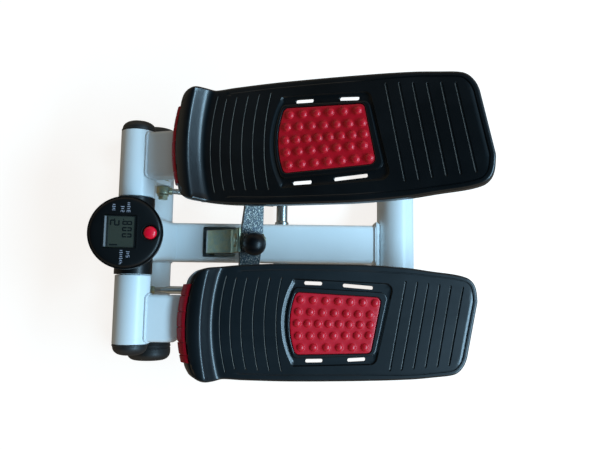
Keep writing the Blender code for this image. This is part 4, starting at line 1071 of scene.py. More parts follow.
def build_damper(side, sd):
    a = math.radians(TILT[side])
    fy, fz = 5.0 * math.cos(a) + 44.0 * math.sin(a), 5.0 * math.sin(a) - 44.0 * math.cos(a)
    A, B = Vector((sd * 55.0, fy, fz)), Vector((sd * 55.0, 150.0, -87.0))
    D, L = (B - A).normalized(), (B - A).length
    along, across = towards(D, A), towards((1, 0, 0), A)
    # rod: bright bar behind a threaded neck with its lock nut
    bm = bmesh.new()
    add_lathe(bm, [tuple(p) for p in rounded([(0, 16.4), (3.3, 16.4), (3.3, 20.0, 0.4), (4.3, 23.5, 0.6), (4.3, 118.0, 0.5), (3.6, 119.0),
                                              (0, 119.0)], False, 3)], 56, along)
    piece("damper_rod_steel_" + side, bm, MATS["steel"], side + "_damper_rod", FRAME, "damper_rod_" + side, 30.0)
    bm = bmesh.new()
    thread(bm, 3.3, 9.0, 16.9, 1.25, 0.5, along)
    piece("damper_rod_thread_" + side, bm, MATS["steel"], side + "_damper_rod", FRAME, (), 30.0)
    bm = bmesh.new()
    prof = rounded([(4.7, -4.2, 0.3), (7.4, -4.2, 0.8), (7.4, 4.2, 0.8), (4.7, 4.2, 0.3)], True, 4)
    add_lathe(bm, [tuple(p) for p in prof], 48, across, True)
    piece("damper_front_eye_" + side, bm, MATS["zinc"], side + "_damper_rod", FRAME, (), 30.0)
    bm = bmesh.new()
    add_lathe(bm, [tuple(p) for p in rounded([(0, 6.2), (4.1, 6.2), (4.1, 9.0, 0.5), (3.4, 9.9), (0, 9.9)], False, 3)], 32, along)
    piece("damper_eye_shank_" + side, bm, MATS["zinc"], side + "_damper_rod", FRAME, (), 30.0)
    # cylinder with rolled ends and rear eye
    e, c0 = L - 8.0, L - 101.875
    bm = bmesh.new()
    prof = rounded([(0, e - 8.0), (4.6, e - 8.0), (4.6, c0 + 0.4), (5.4, c0, 0.2), (8.0, c0, 0.6), (8.8, c0 + 1.0, 0.3), (8.8, c0 + 4.4, 0.4),
                    (9.4, c0 + 5.0, 0.4), (10.0, c0 + 6.4, 0.8), (10.0, c0 + 12.0), (9.65, c0 + 12.8, 0.3), (10.0, c0 + 13.6, 0.3),
                    (10.0, e - 12.0), (9.7, e - 11.2, 0.3), (10.0, e - 10.4, 0.3), (10.0, e - 3.4, 1.5), (8.0, e, 1.0), (0, e)], False, 4)
    add_lathe(bm, [tuple(p) for p in prof], 64, along)
    piece("damper_cylinder_tube_" + side, bm, MATS["enamel"], side + "_damper_cylinder", FRAME, "damper_cylinder_" + side,
          30.0)
    bm = bmesh.new()
    prof = rounded([(4.3, -5.0, 0.3), (9.5, -5.0, 1.0), (9.5, 5.0, 1.0), (4.3, 5.0, 0.3)], True, 4)
    add_lathe(bm, [tuple(p) for p in prof], 48, towards((1, 0, 0), B), True)
    piece("damper_rear_eye_" + side, bm, MATS["enamel"], side + "_damper_cylinder", FRAME, (), 30.0)
    bm = bmesh.new()
    prof = [(4.55, c0 - 1.2), (6.4, c0 - 1.4), (7.2, c0 - 0.9), (7.3, c0 - 0.15), (4.55, c0 - 0.15)]
    add_lathe(bm, prof, 40, along, True)
    piece("damper_wiper_" + side, bm, MATS["rubber"], side + "_damper_cylinder", FRAME, (), 35.0)
    # front bolt through the pedal's lug, with washer and nut
    bm = bmesh.new()
    at = Matrix.Translation((0, 5.0, -44.0)) @ ALONG_X[sd]
    add_lathe(bm, [tuple(p) for p in rounded([(0, 48.8), (6.2, 48.8, 0.3), (6.2, 50.2, 0.3), (3.5, 50.2), (3.5, 65.3), (6.2, 65.3, 0.3),
                                              (6.2, 66.5, 0.3), (3.5, 66.5), (3.5, 70.2, 0.4), (0, 70.4)], False, 3)], 40, at)
    bolt_head(bm, at @ Matrix.Translation((0, 0, 48.8)) @ Matrix.Rotation(math.pi, 4, 'X'), 0.0, 10.0, 3.8)
    bolt_head(bm, at, 66.5, 10.0, 3.4)
    piece("damper_front_bolt_zinc_" + side, bm, MATS["zinc"], side + "_pedal", PEDAL[side], "damper_front_bolt_" + side,
          25.0)
    # stub pin on the beam's side, with its weld
    bm = bmesh.new()
    at = Matrix.Translation((0, 150.0, -87.0)) @ ALONG_X[sd]
    add_lathe(bm, [tuple(p) for p in rounded([(0, 22.3), (8.0, 22.3), (8.0, 26.3, 0.6), (6.5, 27.3, 0.6), (6.5, 49.4, 0.6), (4.0, 49.4),
                                              (4.0, 60.7), (6.8, 60.7, 0.3), (6.8, 63.7, 0.6), (5.8, 64.7, 0.3), (0, 64.7)], False, 4)], 44, at)
    piece("damper_rear_pin_steel_" + side, bm, MATS["steel"], "frame", FRAME, "damper_rear_pin_" + side, 25.0)
    bm = bmesh.new()
    ring = [at @ Vector((8.1 * math.cos(math.radians(12 * i)), 8.1 * math.sin(math.radians(12 * i)), 22.6)) for i in range(30)]
    ring = [p for p in ring if -93.4 < p.z < -62.8]
    low = max(range(len(ring)), key=lambda i: (ring[i] - ring[i - 1]).length)
    add_weld(bm, ring[low:] + ring[:low], 1.2, 1.7, 21 * sd)
    piece("rear_pin_weld_" + side, bm, MATS["weld"], "frame", FRAME, (), 60.0)


def build_pedal(side, sd):
    body, sp = side + "_pedal", PEDAL[side]
    X = ALONG_X[sd]
    # outer tube on the axle
    bm = bmesh.new()
    prof = rounded([(15.4, 40.6, 0.3), (18.0, 40.6, 0.6), (18.0, 110.0, 0.6), (15.4, 110.0, 0.3)], True, 4)
    add_lathe(bm, [tuple(p) for p in prof], 96, X, True)
    piece("pedal_sleeve_tube_" + side, bm, MATS["white"], body, sp, "pedal_sleeve_" + side, 28.0)
    bm = bmesh.new()
    lug = []
    for i in range(33):
        w = math.radians(-190.0 + 200.0 * i / 32)
        lug.append(Vector((5.0 + 8.0 * math.cos(w), -44.0 + 8.0 * math.sin(w))))
    for i in range(19):
        w = math.radians(-53.0 - 72.0 * i / 18)
        lug.append(Vector((17.5 * math.cos(w), 17.5 * math.sin(w))))
    add_prism(bm, lug, 60.0, 65.0, lambda p, t: Vector((sd * t, p[0], p[1])))
    t0 = bmesh.new()
    add_lathe(t0, [(0.0, 55.0), (3.8, 55.0), (3.8, 70.0), (0.0, 70.0)], 32, Matrix.Translation((0, 5.0, -44.0)) @ X)
    piece("damper_lug_" + side, bm, MATS["white"], body, sp, (), bevel=0.5, bevel_seg=2, bevel_angle=50,
          mods=(('DIFFERENCE', tool(t0, sp)),))
    bm = bmesh.new()
    for x in (59.8, 65.2):
        add_weld(bm, [(sd * x, 18.3 * math.cos(math.radians(w)), 18.3 * math.sin(math.radians(w))) for w in range(-56, -124, -4)],
                 1.3, 1.8, x * sd)
    piece("damper_lug_weld_" + side, bm, MATS["weld"], body, sp, (), 60.0)
    # domed black plug with its flange
    bm = bmesh.new()
    prof = [(0.0, 110.3), (17.6, 110.3), (18.0, 110.6), (18.05, 111.6), (17.7, 112.1), (17.35, 112.3)]
    for i in range(1, 13):
        a = math.radians(90.0 * i / 13)
        prof.append((17.35 * math.cos(a) ** 0.62, 112.3 + 9.4 * math.sin(a)))
    prof.append((0.0, 121.75))
    add_lathe(bm, prof, 80, X)
    piece("sleeve_plug_" + side, bm, MATS["rubber"], body, sp, "sleeve_end_cap_" + side, 35.0)
    build_arm(side, sd)
    # roller shoe, folded from strip, with its two weld lines
    bm = bmesh.new()
    shoe = rounded([(98.0, -14.6), (98.0, -39.7, 4.0), (133.0, -39.7, 4.0), (133.0, -14.6), (129.0, -14.6), (129.0, -35.4, 2.0),
                    (102.0, -35.4, 2.0), (102.0, -14.6)], True, 5)
    add_prism(bm, shoe, 74.5, 95.5, lambda p, t: Vector((sd * t, p[0], p[1])))
    piece("roller_shoe_steel_" + side, bm, MATS["white"], body, sp, "roller_shoe_" + side, bevel=0.35,
          bevel_seg=2, bevel_angle=50)
    bm = bmesh.new()
    for u in (98.0, 133.0):
        s = -1.0 if u < 110 else 1.0
        add_weld(bm, [(sd * 75.5, u + s * 0.3, -15.0), (sd * 94.5, u + s * 0.3, -15.0)], 1.3, 1.8, u)
    piece("shoe_weld_" + side, bm, MATS["weld"], body, sp, (), 60.0)
    # footplate bolts under the arm
    for nm, u in (("front", 172.0), ("rear", 245.0)):
        bm = bmesh.new()
        at = Matrix.Translation((sd * 84.0, u, 0.0))
        add_lathe(bm, [tuple(p) for p in rounded([(0, -16.0), (7.6, -16.0, 0.4), (7.6, -14.6, 0.4), (4.0, -14.6), (4.0, 11.0, 0.5), (0, 11.4)],
                                                 False, 3)], 36, at)
        bolt_head(bm, at @ Matrix.Rotation(math.pi, 4, 'X'), 16.0, 11.0, 3.9)
        piece("footplate_bolt_%s_zinc_%s" % (nm, side), bm, MATS["zinc"], body, sp, "footplate_bolt_%s_%s" % (nm, side),
              25.0)
    build_footplate(side, sd)
    build_pad(side, sd)
    build_reflector(side, sd)
    build_damper(side, sd)


# ------------------------------------------------------------------ frame
def build_frame():
    # floor tubes
    for nm, y in (("front", 0.0), ("rear", 283.5)):
        bm = bmesh.new()
        prof = rounded([(19.2, -118.0, 0.3), (21.2, -118.0, 0.5), (21.2, 118.0, 0.5), (19.2, 118.0, 0.3)], True, 3)
        add_lathe(bm, [tuple(p) for p in prof], 112, towards((1, 0, 0), (0, y, -79.5)), True)
        piece("%s_tube" % nm, bm, MATS["white"], "frame", FRAME, "%s_floor_tube" % nm, 28.0)
    # rubber feet
    for nm, y in (("front", 0.0), ("rear", 283.5)):
        for side, sd in SIDES:
            bm = bmesh.new()
            prof = [(0.0, 118.3), (21.5, 118.3), (21.5, 112.0), (23.3, 112.0), (24.0, 112.5), (24.2, 113.2), (24.2, 115.2), (23.7, 115.7),
                    (23.7, 116.5), (24.2, 117.0), (24.2, 119.2), (23.7, 119.7), (23.7, 120.5), (24.2, 121.0), (24.2, 125.5)]
            for i in range(1, 12):
                a = math.radians(90.0 * i / 12)
                prof.append((24.2 - 9.0 * (1 - math.cos(a)), 125.5 + 9.0 * math.sin(a)))
            prof += [(15.2, 134.5), (10.0, 134.3), (0.0, 134.2)]
            add_lathe(bm, prof, 96, Matrix.Translation((0, y, -79.5)) @ ALONG_X[sd])
            for v in bm.verts:
                if v.co.z < -103.0:
                    v.co.z = -103.0
            piece("%s_foot_rubber_%s" % (nm, side), bm, MATS["rubber"], "frame", FRAME, "%s_foot_cap_%s" % (nm, side),
                  32.0)
    # centre beam with its slot and end plate
    bm = bmesh.new()
    outer, innr = rect(-22, 22, -94, -62, 5.0, 6), rect(-20, 20, -92, -64, 3.0, 6)
    rings = []
    for p0, p1, ring in ((8.0, 258.2, outer), (258.2, 8.0, innr)):
        for y in (p0, p1):
            rings.append([Vector((p.x, y, p.y)) for p in ring])
    add_loft(bm, rings, True, False)
    t0 = bmesh.new()
    add_lathe(t0, [(0.0, -60.0), (21.25, -60.0), (21.25, 60.0), (0.0, 60.0)], 112, towards((1, 0, 0), (0, 0, -79.5)))
    t1 = bmesh.new()
    add_prism(t1, rect(-17.6, 17.0, 61, 98.5, 1.6, 5), -75.0, -50.0)
    # the beam wears the copy of the white coat painted lighter, standing for the light it gets
    piece("center_beam_tube", bm, MATS["beam"], "frame", FRAME, "center_beam", bevel=0.45, bevel_seg=2,
          bevel_angle=45, mods=(('DIFFERENCE', tool(t0)), ('DIFFERENCE', tool(t1))))
    bm = bmesh.new()
    add_prism(bm, rect(-26, 26, -97, -60.5, 5.0, 6), 258.3, 261.4, lambda p, t: Vector((p[0], t, p[1])))
    piece("beam_end_plate", bm, MATS["white"], "frame", FRAME, (), bevel=0.8, bevel_seg=3, bevel_angle=50)
    bm = bmesh.new()
    path = [Vector((p.x * 1.01, 257.9, p.y + (0.2 if p.y > -70 else 0.0))) for p in resample(rect(-22.2, 22.2, -94.2, -61.8, 5.0, 6), 1.5)]
    add_weld(bm, path, 1.3, 1.8, 5, True)
    # bead between end plate and rear tube
    path = []
    for x in range(-25, 26, 2):
        path.append((x, 262.6, -70.0))
    add_weld(bm, path, 1.7, 2.0, 6)
    piece("beam_end_weld", bm, MATS["weld"], "frame", FRAME, (), 60.0)
    # turned-up lips along the slot, in the beam's lighter painted coat so they show as pale lit slivers
    bm = bmesh.new()
    for s in (1.0, -1.0):
        c = 17.5 if s > 0 else 17.9
        vs = add_prism(bm, [Vector(p) for p in ((c, 66.0), (c + 2.5, 66.6), (c + 2.3, 86.0), (c + 0.6, 91.0), (c, 91.0))], -62.3, -60.9)
        for v in vs:
            if v.co.z > -61.5:
                v.co.z -= 0.75 * (v.co.x - c) / 2.5
            v.co.x *= s
        if s < 0:
            bmesh.ops.reverse_faces(bm, faces=list({f for v in vs for f in v.link_faces}))
    piece("slot_lips", bm, MATS["beam"], "frame", FRAME, (), bevel=0.25, bevel_seg=2, bevel_angle=30)
    # neck between beam and hub
    bm = bmesh.new()
    tab = [(-62.4, -6.0, 31.0, 22.0), (-58.0, -8.0, 28.6, 22.2), (-50.0, -10.0, 26.0, 22.6), (-40.0, -12.0, 22.8, 23.2),
           (-28.0, -13.5, 18.6, 24.2), (-14.0, -14.5, 15.0, 25.4), (-6.0, -15.0, 13.5, 26.0)]
    cols = [table([(t[0], t[k]) for t in tab]) for k in (1, 2, 3)]
    rings = []
    for i in range(29):
        z = -62.4 + 56.4 * i / 28
        y0, y1, hw = (c(z) for c in cols)
        rings.append([Vector((p.x, p.y, z)) for p in rect(-hw, hw, y0, y1, 6.0, 6)])
    add_loft(bm, rings)
    t0 = bmesh.new()
    add_lathe(t0, [(0.0, -60.0), (21.25, -60.0), (21.25, 60.0), (0.0, 60.0)], 112, towards((1, 0, 0), (0, 0, -79.5)))
    t1 = bmesh.new()
    add_lathe(t1, [(0.0, -60.0), (17.05, -60.0), (17.05, 60.0), (0.0, 60.0)], 96, towards((1, 0, 0)))
    piece("front_neck_steel", bm, MATS["white"], "frame", FRAME, "front_neck", bevel=0.5, bevel_seg=2,
          bevel_angle=40, mods=(('DIFFERENCE', tool(t0)), ('DIFFERENCE', tool(t1))))
    # welds of the neck on the floor tube and round the hub
    bm = bmesh.new()
    for s in (1.0, -1.0):
        path = []
        for i in range(30):
            a = math.radians(112.0 - 128.0 * i / 29)
            path.append((s * 22.4, 21.4 * math.cos(a), -79.5 + 21.4 * math.sin(a)))
        add_weld(bm, path, 1.7, 2.0, 11 * s)
        path = []
        for i in range(14):
            a = math.radians(-132.0 + 84.0 * i / 13)
            path.append((s * 26.2, 17.3 * math.cos(a), 17.3 * math.sin(a)))
        add_weld(bm, path, 1.5, 1.9, 13 * s)
    piece("neck_weld", bm, MATS["weld"], "frame", FRAME, (), 60.0)
    bm = bmesh.new()
    add_lathe(bm, [tuple(p) for p in rounded([(8.3, -40.0, 0.3), (17.0, -40.0, 0.6), (17.0, 40.0, 0.6), (8.3, 40.0, 0.3)], True, 3)],
              88, towards((1, 0, 0)), True)
    piece("hub_tube_steel", bm, MATS["white"], "frame", FRAME, "hub_tube", 28.0)
    # bent tongue plate that carries the rocker's bolt
    chk = P0 + K * 15.0
    n = Vector((0.0, math.sin(SL), math.cos(SL)))
    lo, up = chk - n * 13.0, chk + n * 9.5
    line = [(68.0, -91.7), (68.0, -60.5), (68.8, -58.0), (71.0, -56.0), (lo.y - 4.0, lo.z - 2.2), (lo.y - 1.2, lo.z - 0.2),
            (lo.y + 0.6, lo.z + 2.0), (up.y, up.z)]
    left, right = [], []
    fine = [Vector(p) for p in line]
    for i, p in enumerate(fine):
        d0 = (p - fine[i - 1]).normalized() if i else None
        d1 = (fine[i + 1] - p).normalized() if i < len(fine) - 1 else None
        d = d0 if d1 is None else d1 if d0 is None else (d0 + d1).normalized()
        s = 1.0 if d0 is None or d1 is None else 1.0 / max(0.5, d.dot(d0))
        nn = Vector((-d.y, d.x)) * (2.5 * s)
        left.append(p + nn)
        right.append(p - nn)
    d = (fine[-1] - fine[-2]).normalized()
    nn, c = Vector((-d.y, d.x)) * 2.5, fine[-1] - d * 2.5
    cap = [c + nn * math.cos(math.radians(t)) + d * (2.5 * math.sin(math.radians(t))) for t in range(0, 181, 20)]
    outl = left[:-1] + cap + list(reversed(right[:-1]))
    bm = bmesh.new()
    add_prism(bm, outl, -13.0, 13.0, lambda p, t: Vector((t, p[0], p[1])))
    t0 = bmesh.new()
    add_lathe(t0, [(0.0, 9.0), (5.3, 9.0), (5.3, 22.0), (0.0, 22.0)], 40, Matrix.Translation(P0) @ towards(K).to_3x3().to_4x4())
    piece("rocker_tongue", bm, MATS["zinc"], "frame", FRAME, "rocker_bracket", bevel=0.5, bevel_seg=3,
          bevel_angle=40, mods=(('DIFFERENCE', tool(t0)),))
    # bright steel on the bend, a painted highlight for the light the bend catches
    bm = bmesh.new()
    add_lathe(bm, [tuple(p) for p in rounded([(0, -12.8), (2.75, -12.8, 0.4), (2.75, 12.8, 0.4), (0, 12.8)], False, 3)], 40,
              towards((1, 0, 0), (0, 68.2, -58.5)))
    piece("tongue_bend_painted_highlight", bm, MATS["steel"], "frame", FRAME, (), 30.0)
    # pivot bolt
    bm = bmesh.new()
    sp = Matrix.Translation(P0) @ towards(K)
    add_lathe(bm, [tuple(p) for p in rounded([(0, 18.0), (5.0, 18.0), (5.0, -15.4, 0.8), (0, -15.4)], False, 3)], 36, sp)
    dome = [(0.0, 17.2), (7.6, 17.2), (7.6, 17.9)] + [(7.4 * math.cos(math.radians(t)), 17.9 + 2.6 * math.sin(math.radians(t)))
                                                      for t in range(8, 84, 8)] + [(0.0, 20.5)]
    add_lathe(bm, dome, 48, sp)
    add_lathe(bm, [tuple(p) for p in rounded([(0, -12.5), (8.4, -12.5, 0.3), (8.4, -13.6, 0.5), (0, -13.6)], False, 3)], 36, sp)
    bolt_head(bm, sp @ Matrix.Rotation(math.pi, 4, 'X'), 13.6, 10.0, 2.4)
    piece("rocker_bolt", bm, MATS["zinc"], "frame", FRAME, "rocker_pivot_bolt", 25.0)
    # rubber stops on the rear tube
    for side, sd in SIDES:
        bm = bmesh.new()
        add_lathe(bm, [tuple(p) for p in rounded([(0, -64.0), (13.0, -64.0), (13.0, -56.4, 0.8), (11.6, -54.0, 1.0), (10.4, -38.0, 0.8),
                                                  (9.4, -33.5, 1.8), (0, -33.5)], False, 5)], 56, Matrix.Translation((sd * 84.0, 282.0, 0)))
        t0 = bmesh.new()
        add_lathe(t0, [(0.0, -40.0), (21.35, -40.0), (21.35, 40.0), (0.0, 40.0)], 96, towards((1, 0, 0), (sd * 84.0, 283.5, -79.5)))
        piece("stop_rubber_" + side, bm, MATS["rubber"], "frame", FRAME, "stop_bumper_" + side, 32.0,
              mods=(('DIFFERENCE', tool(t0)),))


# ------------------------------------------------------------------ rocker
def build_rocker():
    half = [(0.0, 12.5), (30.0, 10.7), (62.0, 8.9), (88.0, 8.1), (91.5, 7.0), (93.0, 5.8)]
    right = [(x, w) for x, w in half]
    pts = []
    for x, w in right:
        pts.append((x, w, 0.0 if x in (0.0, 30.0, 62.0) else 1.0))
    pts += [(93.0, -5.8 + 0.2)]
    prof = []
    for x, w in half:
        prof.append(Vector((x, w)))
    ends = []
    # fork ends
    def side_pts(s):
        a = [Vector((s * x, w)) for x, w in half]
        fork = [Vector((s * 93.0, 5.6)), Vector((s * 76.0, 5.6))]
        for i in range(1, 8):
            t = math.pi / 2 - math.pi * i / 8
            fork.append(Vector((s * (76.0 - 2.8 * math.cos(t)), 5.6 * math.sin(t))))
        fork += [Vector((s * 76.0, -5.6)), Vector((s * 93.0, -5.6))]
        b = [Vector((s * x, -w)) for x, w in reversed(half)]
        return a + fork + b
    r, l = side_pts(1.0), side_pts(-1.0)
    loop = r[:-1] + list(reversed(l))[:-1]
    clean = []
    for p in loop:
        if not clean or (clean[-1] - p).length > 0.02:
            clean.append(p)
    if (clean[0] - clean[-1]).length < 0.02:
        clean.pop()
    bm = bmesh.new()
    add_prism(bm, clean, -4.0, 4.0)
    t0 = bmesh.new()
    add_lathe(t0, [(0.0, -20.0), (10.0, -20.0), (10.0, 20.0), (0.0, 20.0)], 48, towards((0, 1, 0)))
    piece("rocker_bar_steel", bm, MATS["hammer"], "rocker", ROCKER, "rocker_bar", bevel=1.3, bevel_seg=4,
          bevel_angle=40, mods=(('DIFFERENCE', tool(t0, ROCKER)),))
    bm = bmesh.new()
    prof = rounded([(6.9, -10.8, 0.3), (10.4, -10.8, 0.8), (10.4, 10.8, 0.8), (6.9, 10.8, 0.3)], True, 4)
    add_lathe(bm, [tuple(p) for p in prof], 64, towards((0, 1, 0)), True)
    piece("rocker_boss", bm, MATS["hammer"], "rocker", ROCKER, (), 30.0)
    bm = bmesh.new()
    for s in (1.0, -1.0):
        for z in (4.0, -4.0):
            add_weld(bm, [(s * 10.2, y, z * 0.92) for y in range(-10, 11, 2)], 1.3, 1.8, s + z)
    piece("boss_weld", bm, MATS["hammer"], "rocker", ROCKER, (), 60.0)
    bm = bmesh.new()
    add_lathe(bm, [tuple(p) for p in rounded([(5.3, -11.1, 0.3), (6.6, -11.1, 0.3), (6.6, 11.1, 0.3), (5.3, 11.1, 0.3)], True, 3)], 48,
              towards((0, 1, 0)), True)
    piece("rocker_bush_nylon", bm, MATS["nylon"], "rocker", ROCKER, "rocker_bush", 30.0)
    for side, s in SIDES:
        at = Matrix.Translation((s * 85.0, 0, 0)) @ towards((0, 1, 0))
        bm = bmesh.new()
        add_lathe(bm, [tuple(p) for p in rounded([(0, -9.8), (3.0, -9.8, 0.2), (3.8, -9.2, 0.2), (3.8, -8.4, 0.2), (2.6, -8.4), (2.6, 8.4),
                                                  (3.8, 8.4, 0.2), (3.8, 9.2, 0.2), (3.0, 9.8, 0.2), (0, 9.8)], False, 3)], 32, at)
        piece("roller_pin_steel_" + side, bm, MATS["steel"], "rocker", ROCKER, "roller_pin_" + side, 28.0)
        bm = bmesh.new()
        crown = [(math.sqrt(10.5 ** 2 - z * z), z) for z in (-4.9, -4.0, -2.6, -1.3, 0.0, 1.3, 2.6, 4.0, 4.9)]
        prof = [(2.9, -4.6), (3.3, -5.0), (4.6, -5.2), (6.0, -4.3), (7.6, -4.3), (8.6, -5.2)] + crown + [(8.6, 5.2), (7.6, 4.3), (6.0, 4.3),
                (4.6, 5.2), (3.3, 5.0), (2.9, 4.6)]
        add_lathe(bm, prof, 56, at, True)
        piece("roller_nylon_" + side, bm, MATS["nylon"], side + "_roller", ROCKER, "roller_" + side, 30.0)
    # ball knob with its small flat and collar
    bm = bmesh.new()
    r_base = math.sqrt(12.5 ** 2 - (17.5 - 10.75) ** 2)
    prof = [(0.0, 10.75), (r_base * 0.82, 10.75), (r_base * 0.98, 11.0)]
    a0 = math.degrees(math.asin(-(17.5 - 11.4) / 12.5))
    for i in range(30):
        a = math.radians(a0 + (90.0 - a0) * i / 30)
        prof.append((12.5 * math.cos(a), 17.5 + 12.5 * math.sin(a)))
    prof.append((0.0, 30.0))
    add_lathe(bm, prof, 72, Matrix.Rotation(math.pi, 4, 'X'))
    piece("ball_knob", bm, MATS["gloss"], "knob", ROCKER, "height_knob", 35.0)


# ------------------------------------------------------------------ counter
SEG = {"0": "abcdef", "1": "bc", "2": "abged", "3": "abgcd", "4": "fgbc", "5": "afgcd", "6": "afgedc", "7": "abc", "8": "abcdefg",
       "9": "abcdfg"}


def add_digit(bm, ch, at, w, h, t, z0, z1, space=None):
    """Seven-segment digit in its own axes: a runs across, b up."""
    ax, ay = at
    g = t * 0.12
    bars = {"a": ((0, h - t), (w, h)), "d": ((0, 0), (w, t)), "g": ((0, h / 2 - t / 2), (w, h / 2 + t / 2)),
            "f": ((0, h / 2), (t, h)), "b": ((w - t, h / 2), (w, h)), "e": ((0, 0), (t, h / 2)), "c": ((w - t, 0), (w, h / 2))}
    made = []
    for s in SEG[ch]:
        (x0, y0), (x1, y1) = bars[s]
        if s in "adg":
            pts = [(x0 + g + t * 0.45, y0), (x1 - g - t * 0.45, y0), (x1 - g, (y0 + y1) / 2), (x1 - g - t * 0.45, y1),
                   (x0 + g + t * 0.45, y1), (x0 + g, (y0 + y1) / 2)]
        else:
            pts = [(x0, y0 + g + t * 0.45), ((x0 + x1) / 2, y0 + g), (x1, y0 + g + t * 0.45), (x1, y1 - g - t * 0.45),
                   ((x0 + x1) / 2, y1 - g), (x0, y1 - g - t * 0.45)]
        made += add_prism(bm, [Vector((ax + p[0], ay + p[1])) for p in pts], z0, z1)
    if space is not None:
        bmesh.ops.transform(bm, matrix=space, verts=made)


def build_console():
    # strap over the hub with the pedestal that carries the counter
    bm = bmesh.new()
    pts = []
    for i in range(49):
        a = math.radians(-10 + 200.0 * i / 48)
        pts.append(Vector((19.2 * math.cos(a), 19.2 * math.sin(a))))
    for i in range(49):
        a = math.radians(190 - 200.0 * i / 48)
        pts.append(Vector((17.3 * math.cos(a), 17.3 * math.sin(a))))
    add_prism(bm, pts, -39.5, 39.5, lambda p, t: Vector((t, p[0], p[1])))
    t0 = bmesh.new()
    pt = [(9.5, 28.5 - 9.5 * math.tan(math.radians(8)) - 0.35), (-8.5, 28.5 + 8.5 * math.tan(math.radians(8)) - 0.35)]
    pt += [(y, math.sqrt(18.2 ** 2 - y * y)) for y in (-8.5, -4.0, 0.0, 4.5, 9.5)]
    add_prism(t0, [Vector(p) for p in pt], -16.0, 16.0, lambda p, t: Vector((t, p[0], p[1])))
    piece("saddle_strap", bm, MATS["console"], "frame", FRAME, "console_saddle", bevel=0.4, bevel_seg=2,
          bevel_angle=50, mods=(('UNION', tool(t0)),))
    # case: a shallow dish with a rim, notched at the rear
    bm = bmesh.new()
    prof = rounded([(0, 0), (30.0, 0, 1.5), (34.4, 1.6, 1.6), (36.0, 5.0, 1.2), (36.0, 11.6, 0.5), (34.9, 11.6, 0.4), (34.6, 9.9), (33.9, 9.9),
                    (33.9, 2.6), (0, 2.6)], False, 4)
    add_lathe(bm, [tuple(p) for p in prof], 128)
    t0 = bmesh.new()
    add_prism(t0, rect(-7.6, 7.6, 33.0, 40.0, 0.8, 3), 8.6, 16.0)
    piece("counter_case", bm, MATS["console"], "frame", CONSOLE, "console_housing", 28.0,
          mods=(('DIFFERENCE', tool(t0, CONSOLE)),))
    # cover with window recess and button hole
    bm = bmesh.new()
    prof = [(0.0, 10.5), (33.4, 10.5), (34.3, 10.6), (34.55, 11.0), (34.5, 11.8), (34.2, 12.6), (33.4, 13.35), (32.4, 13.75), (31.0, 13.95),
            (27.0, 14.15), (20.0, 14.35), (12.0, 14.45), (6.0, 14.5), (0.0, 14.5)]
    add_lathe(bm, prof, 128)
    t0 = bmesh.new()
    w = (-16.9, 15.7, -20.3, 11.3)
    low, high = rect(w[0] + 0.5, w[1] - 0.5, w[2] + 0.5, w[3] - 0.5, 1.4, 5), rect(w[0] - 0.2, w[1] + 0.2, w[2] - 0.9, w[3] + 0.2, 2.0, 5)
    add_loft(t0, [[Vector((p.x, p.y, 9.0)) for p in low], [Vector((p.x, p.y, 12.2)) for p in low], [Vector((p.x, p.y, 16.0)) for p in high]])
    t1 = bmesh.new()
    add_lathe(t1, [(0, 9.0), (7.35, 9.0), (7.35, 13.2), (8.5, 14.6), (8.5, 17.0), (0, 17.0)], 64, Matrix.Translation((0, 24.0, 0)))
    piece("counter_cover", bm, MATS["console"], "frame", CONSOLE, "console_face", 26.0,
          mods=(('DIFFERENCE', tool(t0, CONSOLE)), ('DIFFERENCE', tool(t1, CONSOLE))))
    # raised rim round the window
    bm = bmesh.new()
    o, i_ = rect(w[0] - 1.6, w[1] + 1.6, w[2] - 2.2, w[3] + 1.6, 3.0, 6), rect(w[0] - 0.1, w[1] + 0.1, w[2] - 0.2, w[3] + 0.1, 1.8, 6)
    rings = [[Vector((p.x, p.y, 13.8)) for p in o], [Vector((p.x, p.y, 14.5)) for p in inset(o, 0.5)],
             [Vector((p.x, p.y, 14.55)) for p in inset(i_, -0.3)], [Vector((p.x, p.y, 13.9)) for p in i_]]
    add_loft(bm, rings, True, False)
    piece("window_rim", bm, MATS["console"], "frame", CONSOLE, (), 40.0)
    # sloping front wall of the recess, painted pale grey as a highlight sliver
    bm = bmesh.new()
    add_prism(bm, [Vector((-19.95, 12.0)), Vector((-19.95, 13.75)), Vector((-19.1, 13.6)), Vector((-17.9, 12.6)), Vector((-17.9, 12.0))],
              -15.6, 14.4, lambda p, t: Vector((t, p[0], p[1])))
    piece("window_sill", bm, MATS["sill_painted_highlight"], "frame", CONSOLE, (), bevel=0.25, bevel_seg=2, bevel_angle=30)
    bm = bmesh.new()
    add_prism(bm, rect(-16.3, 15.1, -16.9, 10.7, 1.2, 5), 12.5, 13.3)
    piece("window_lens", bm, MATS["lens"], "frame", CONSOLE, "console_window", bevel=0.3, bevel_seg=2, bevel_angle=50)
    bm = bmesh.new()
    add_prism(bm, rect(-16.0, 14.8, -19.6, 10.6, 0.8, 4), 9.2, 11.6)
    piece("lcd_glass", bm, MATS["lcd"], "frame", CONSOLE, "lcd_panel", bevel=0.3, bevel_seg=2, bevel_angle=50)
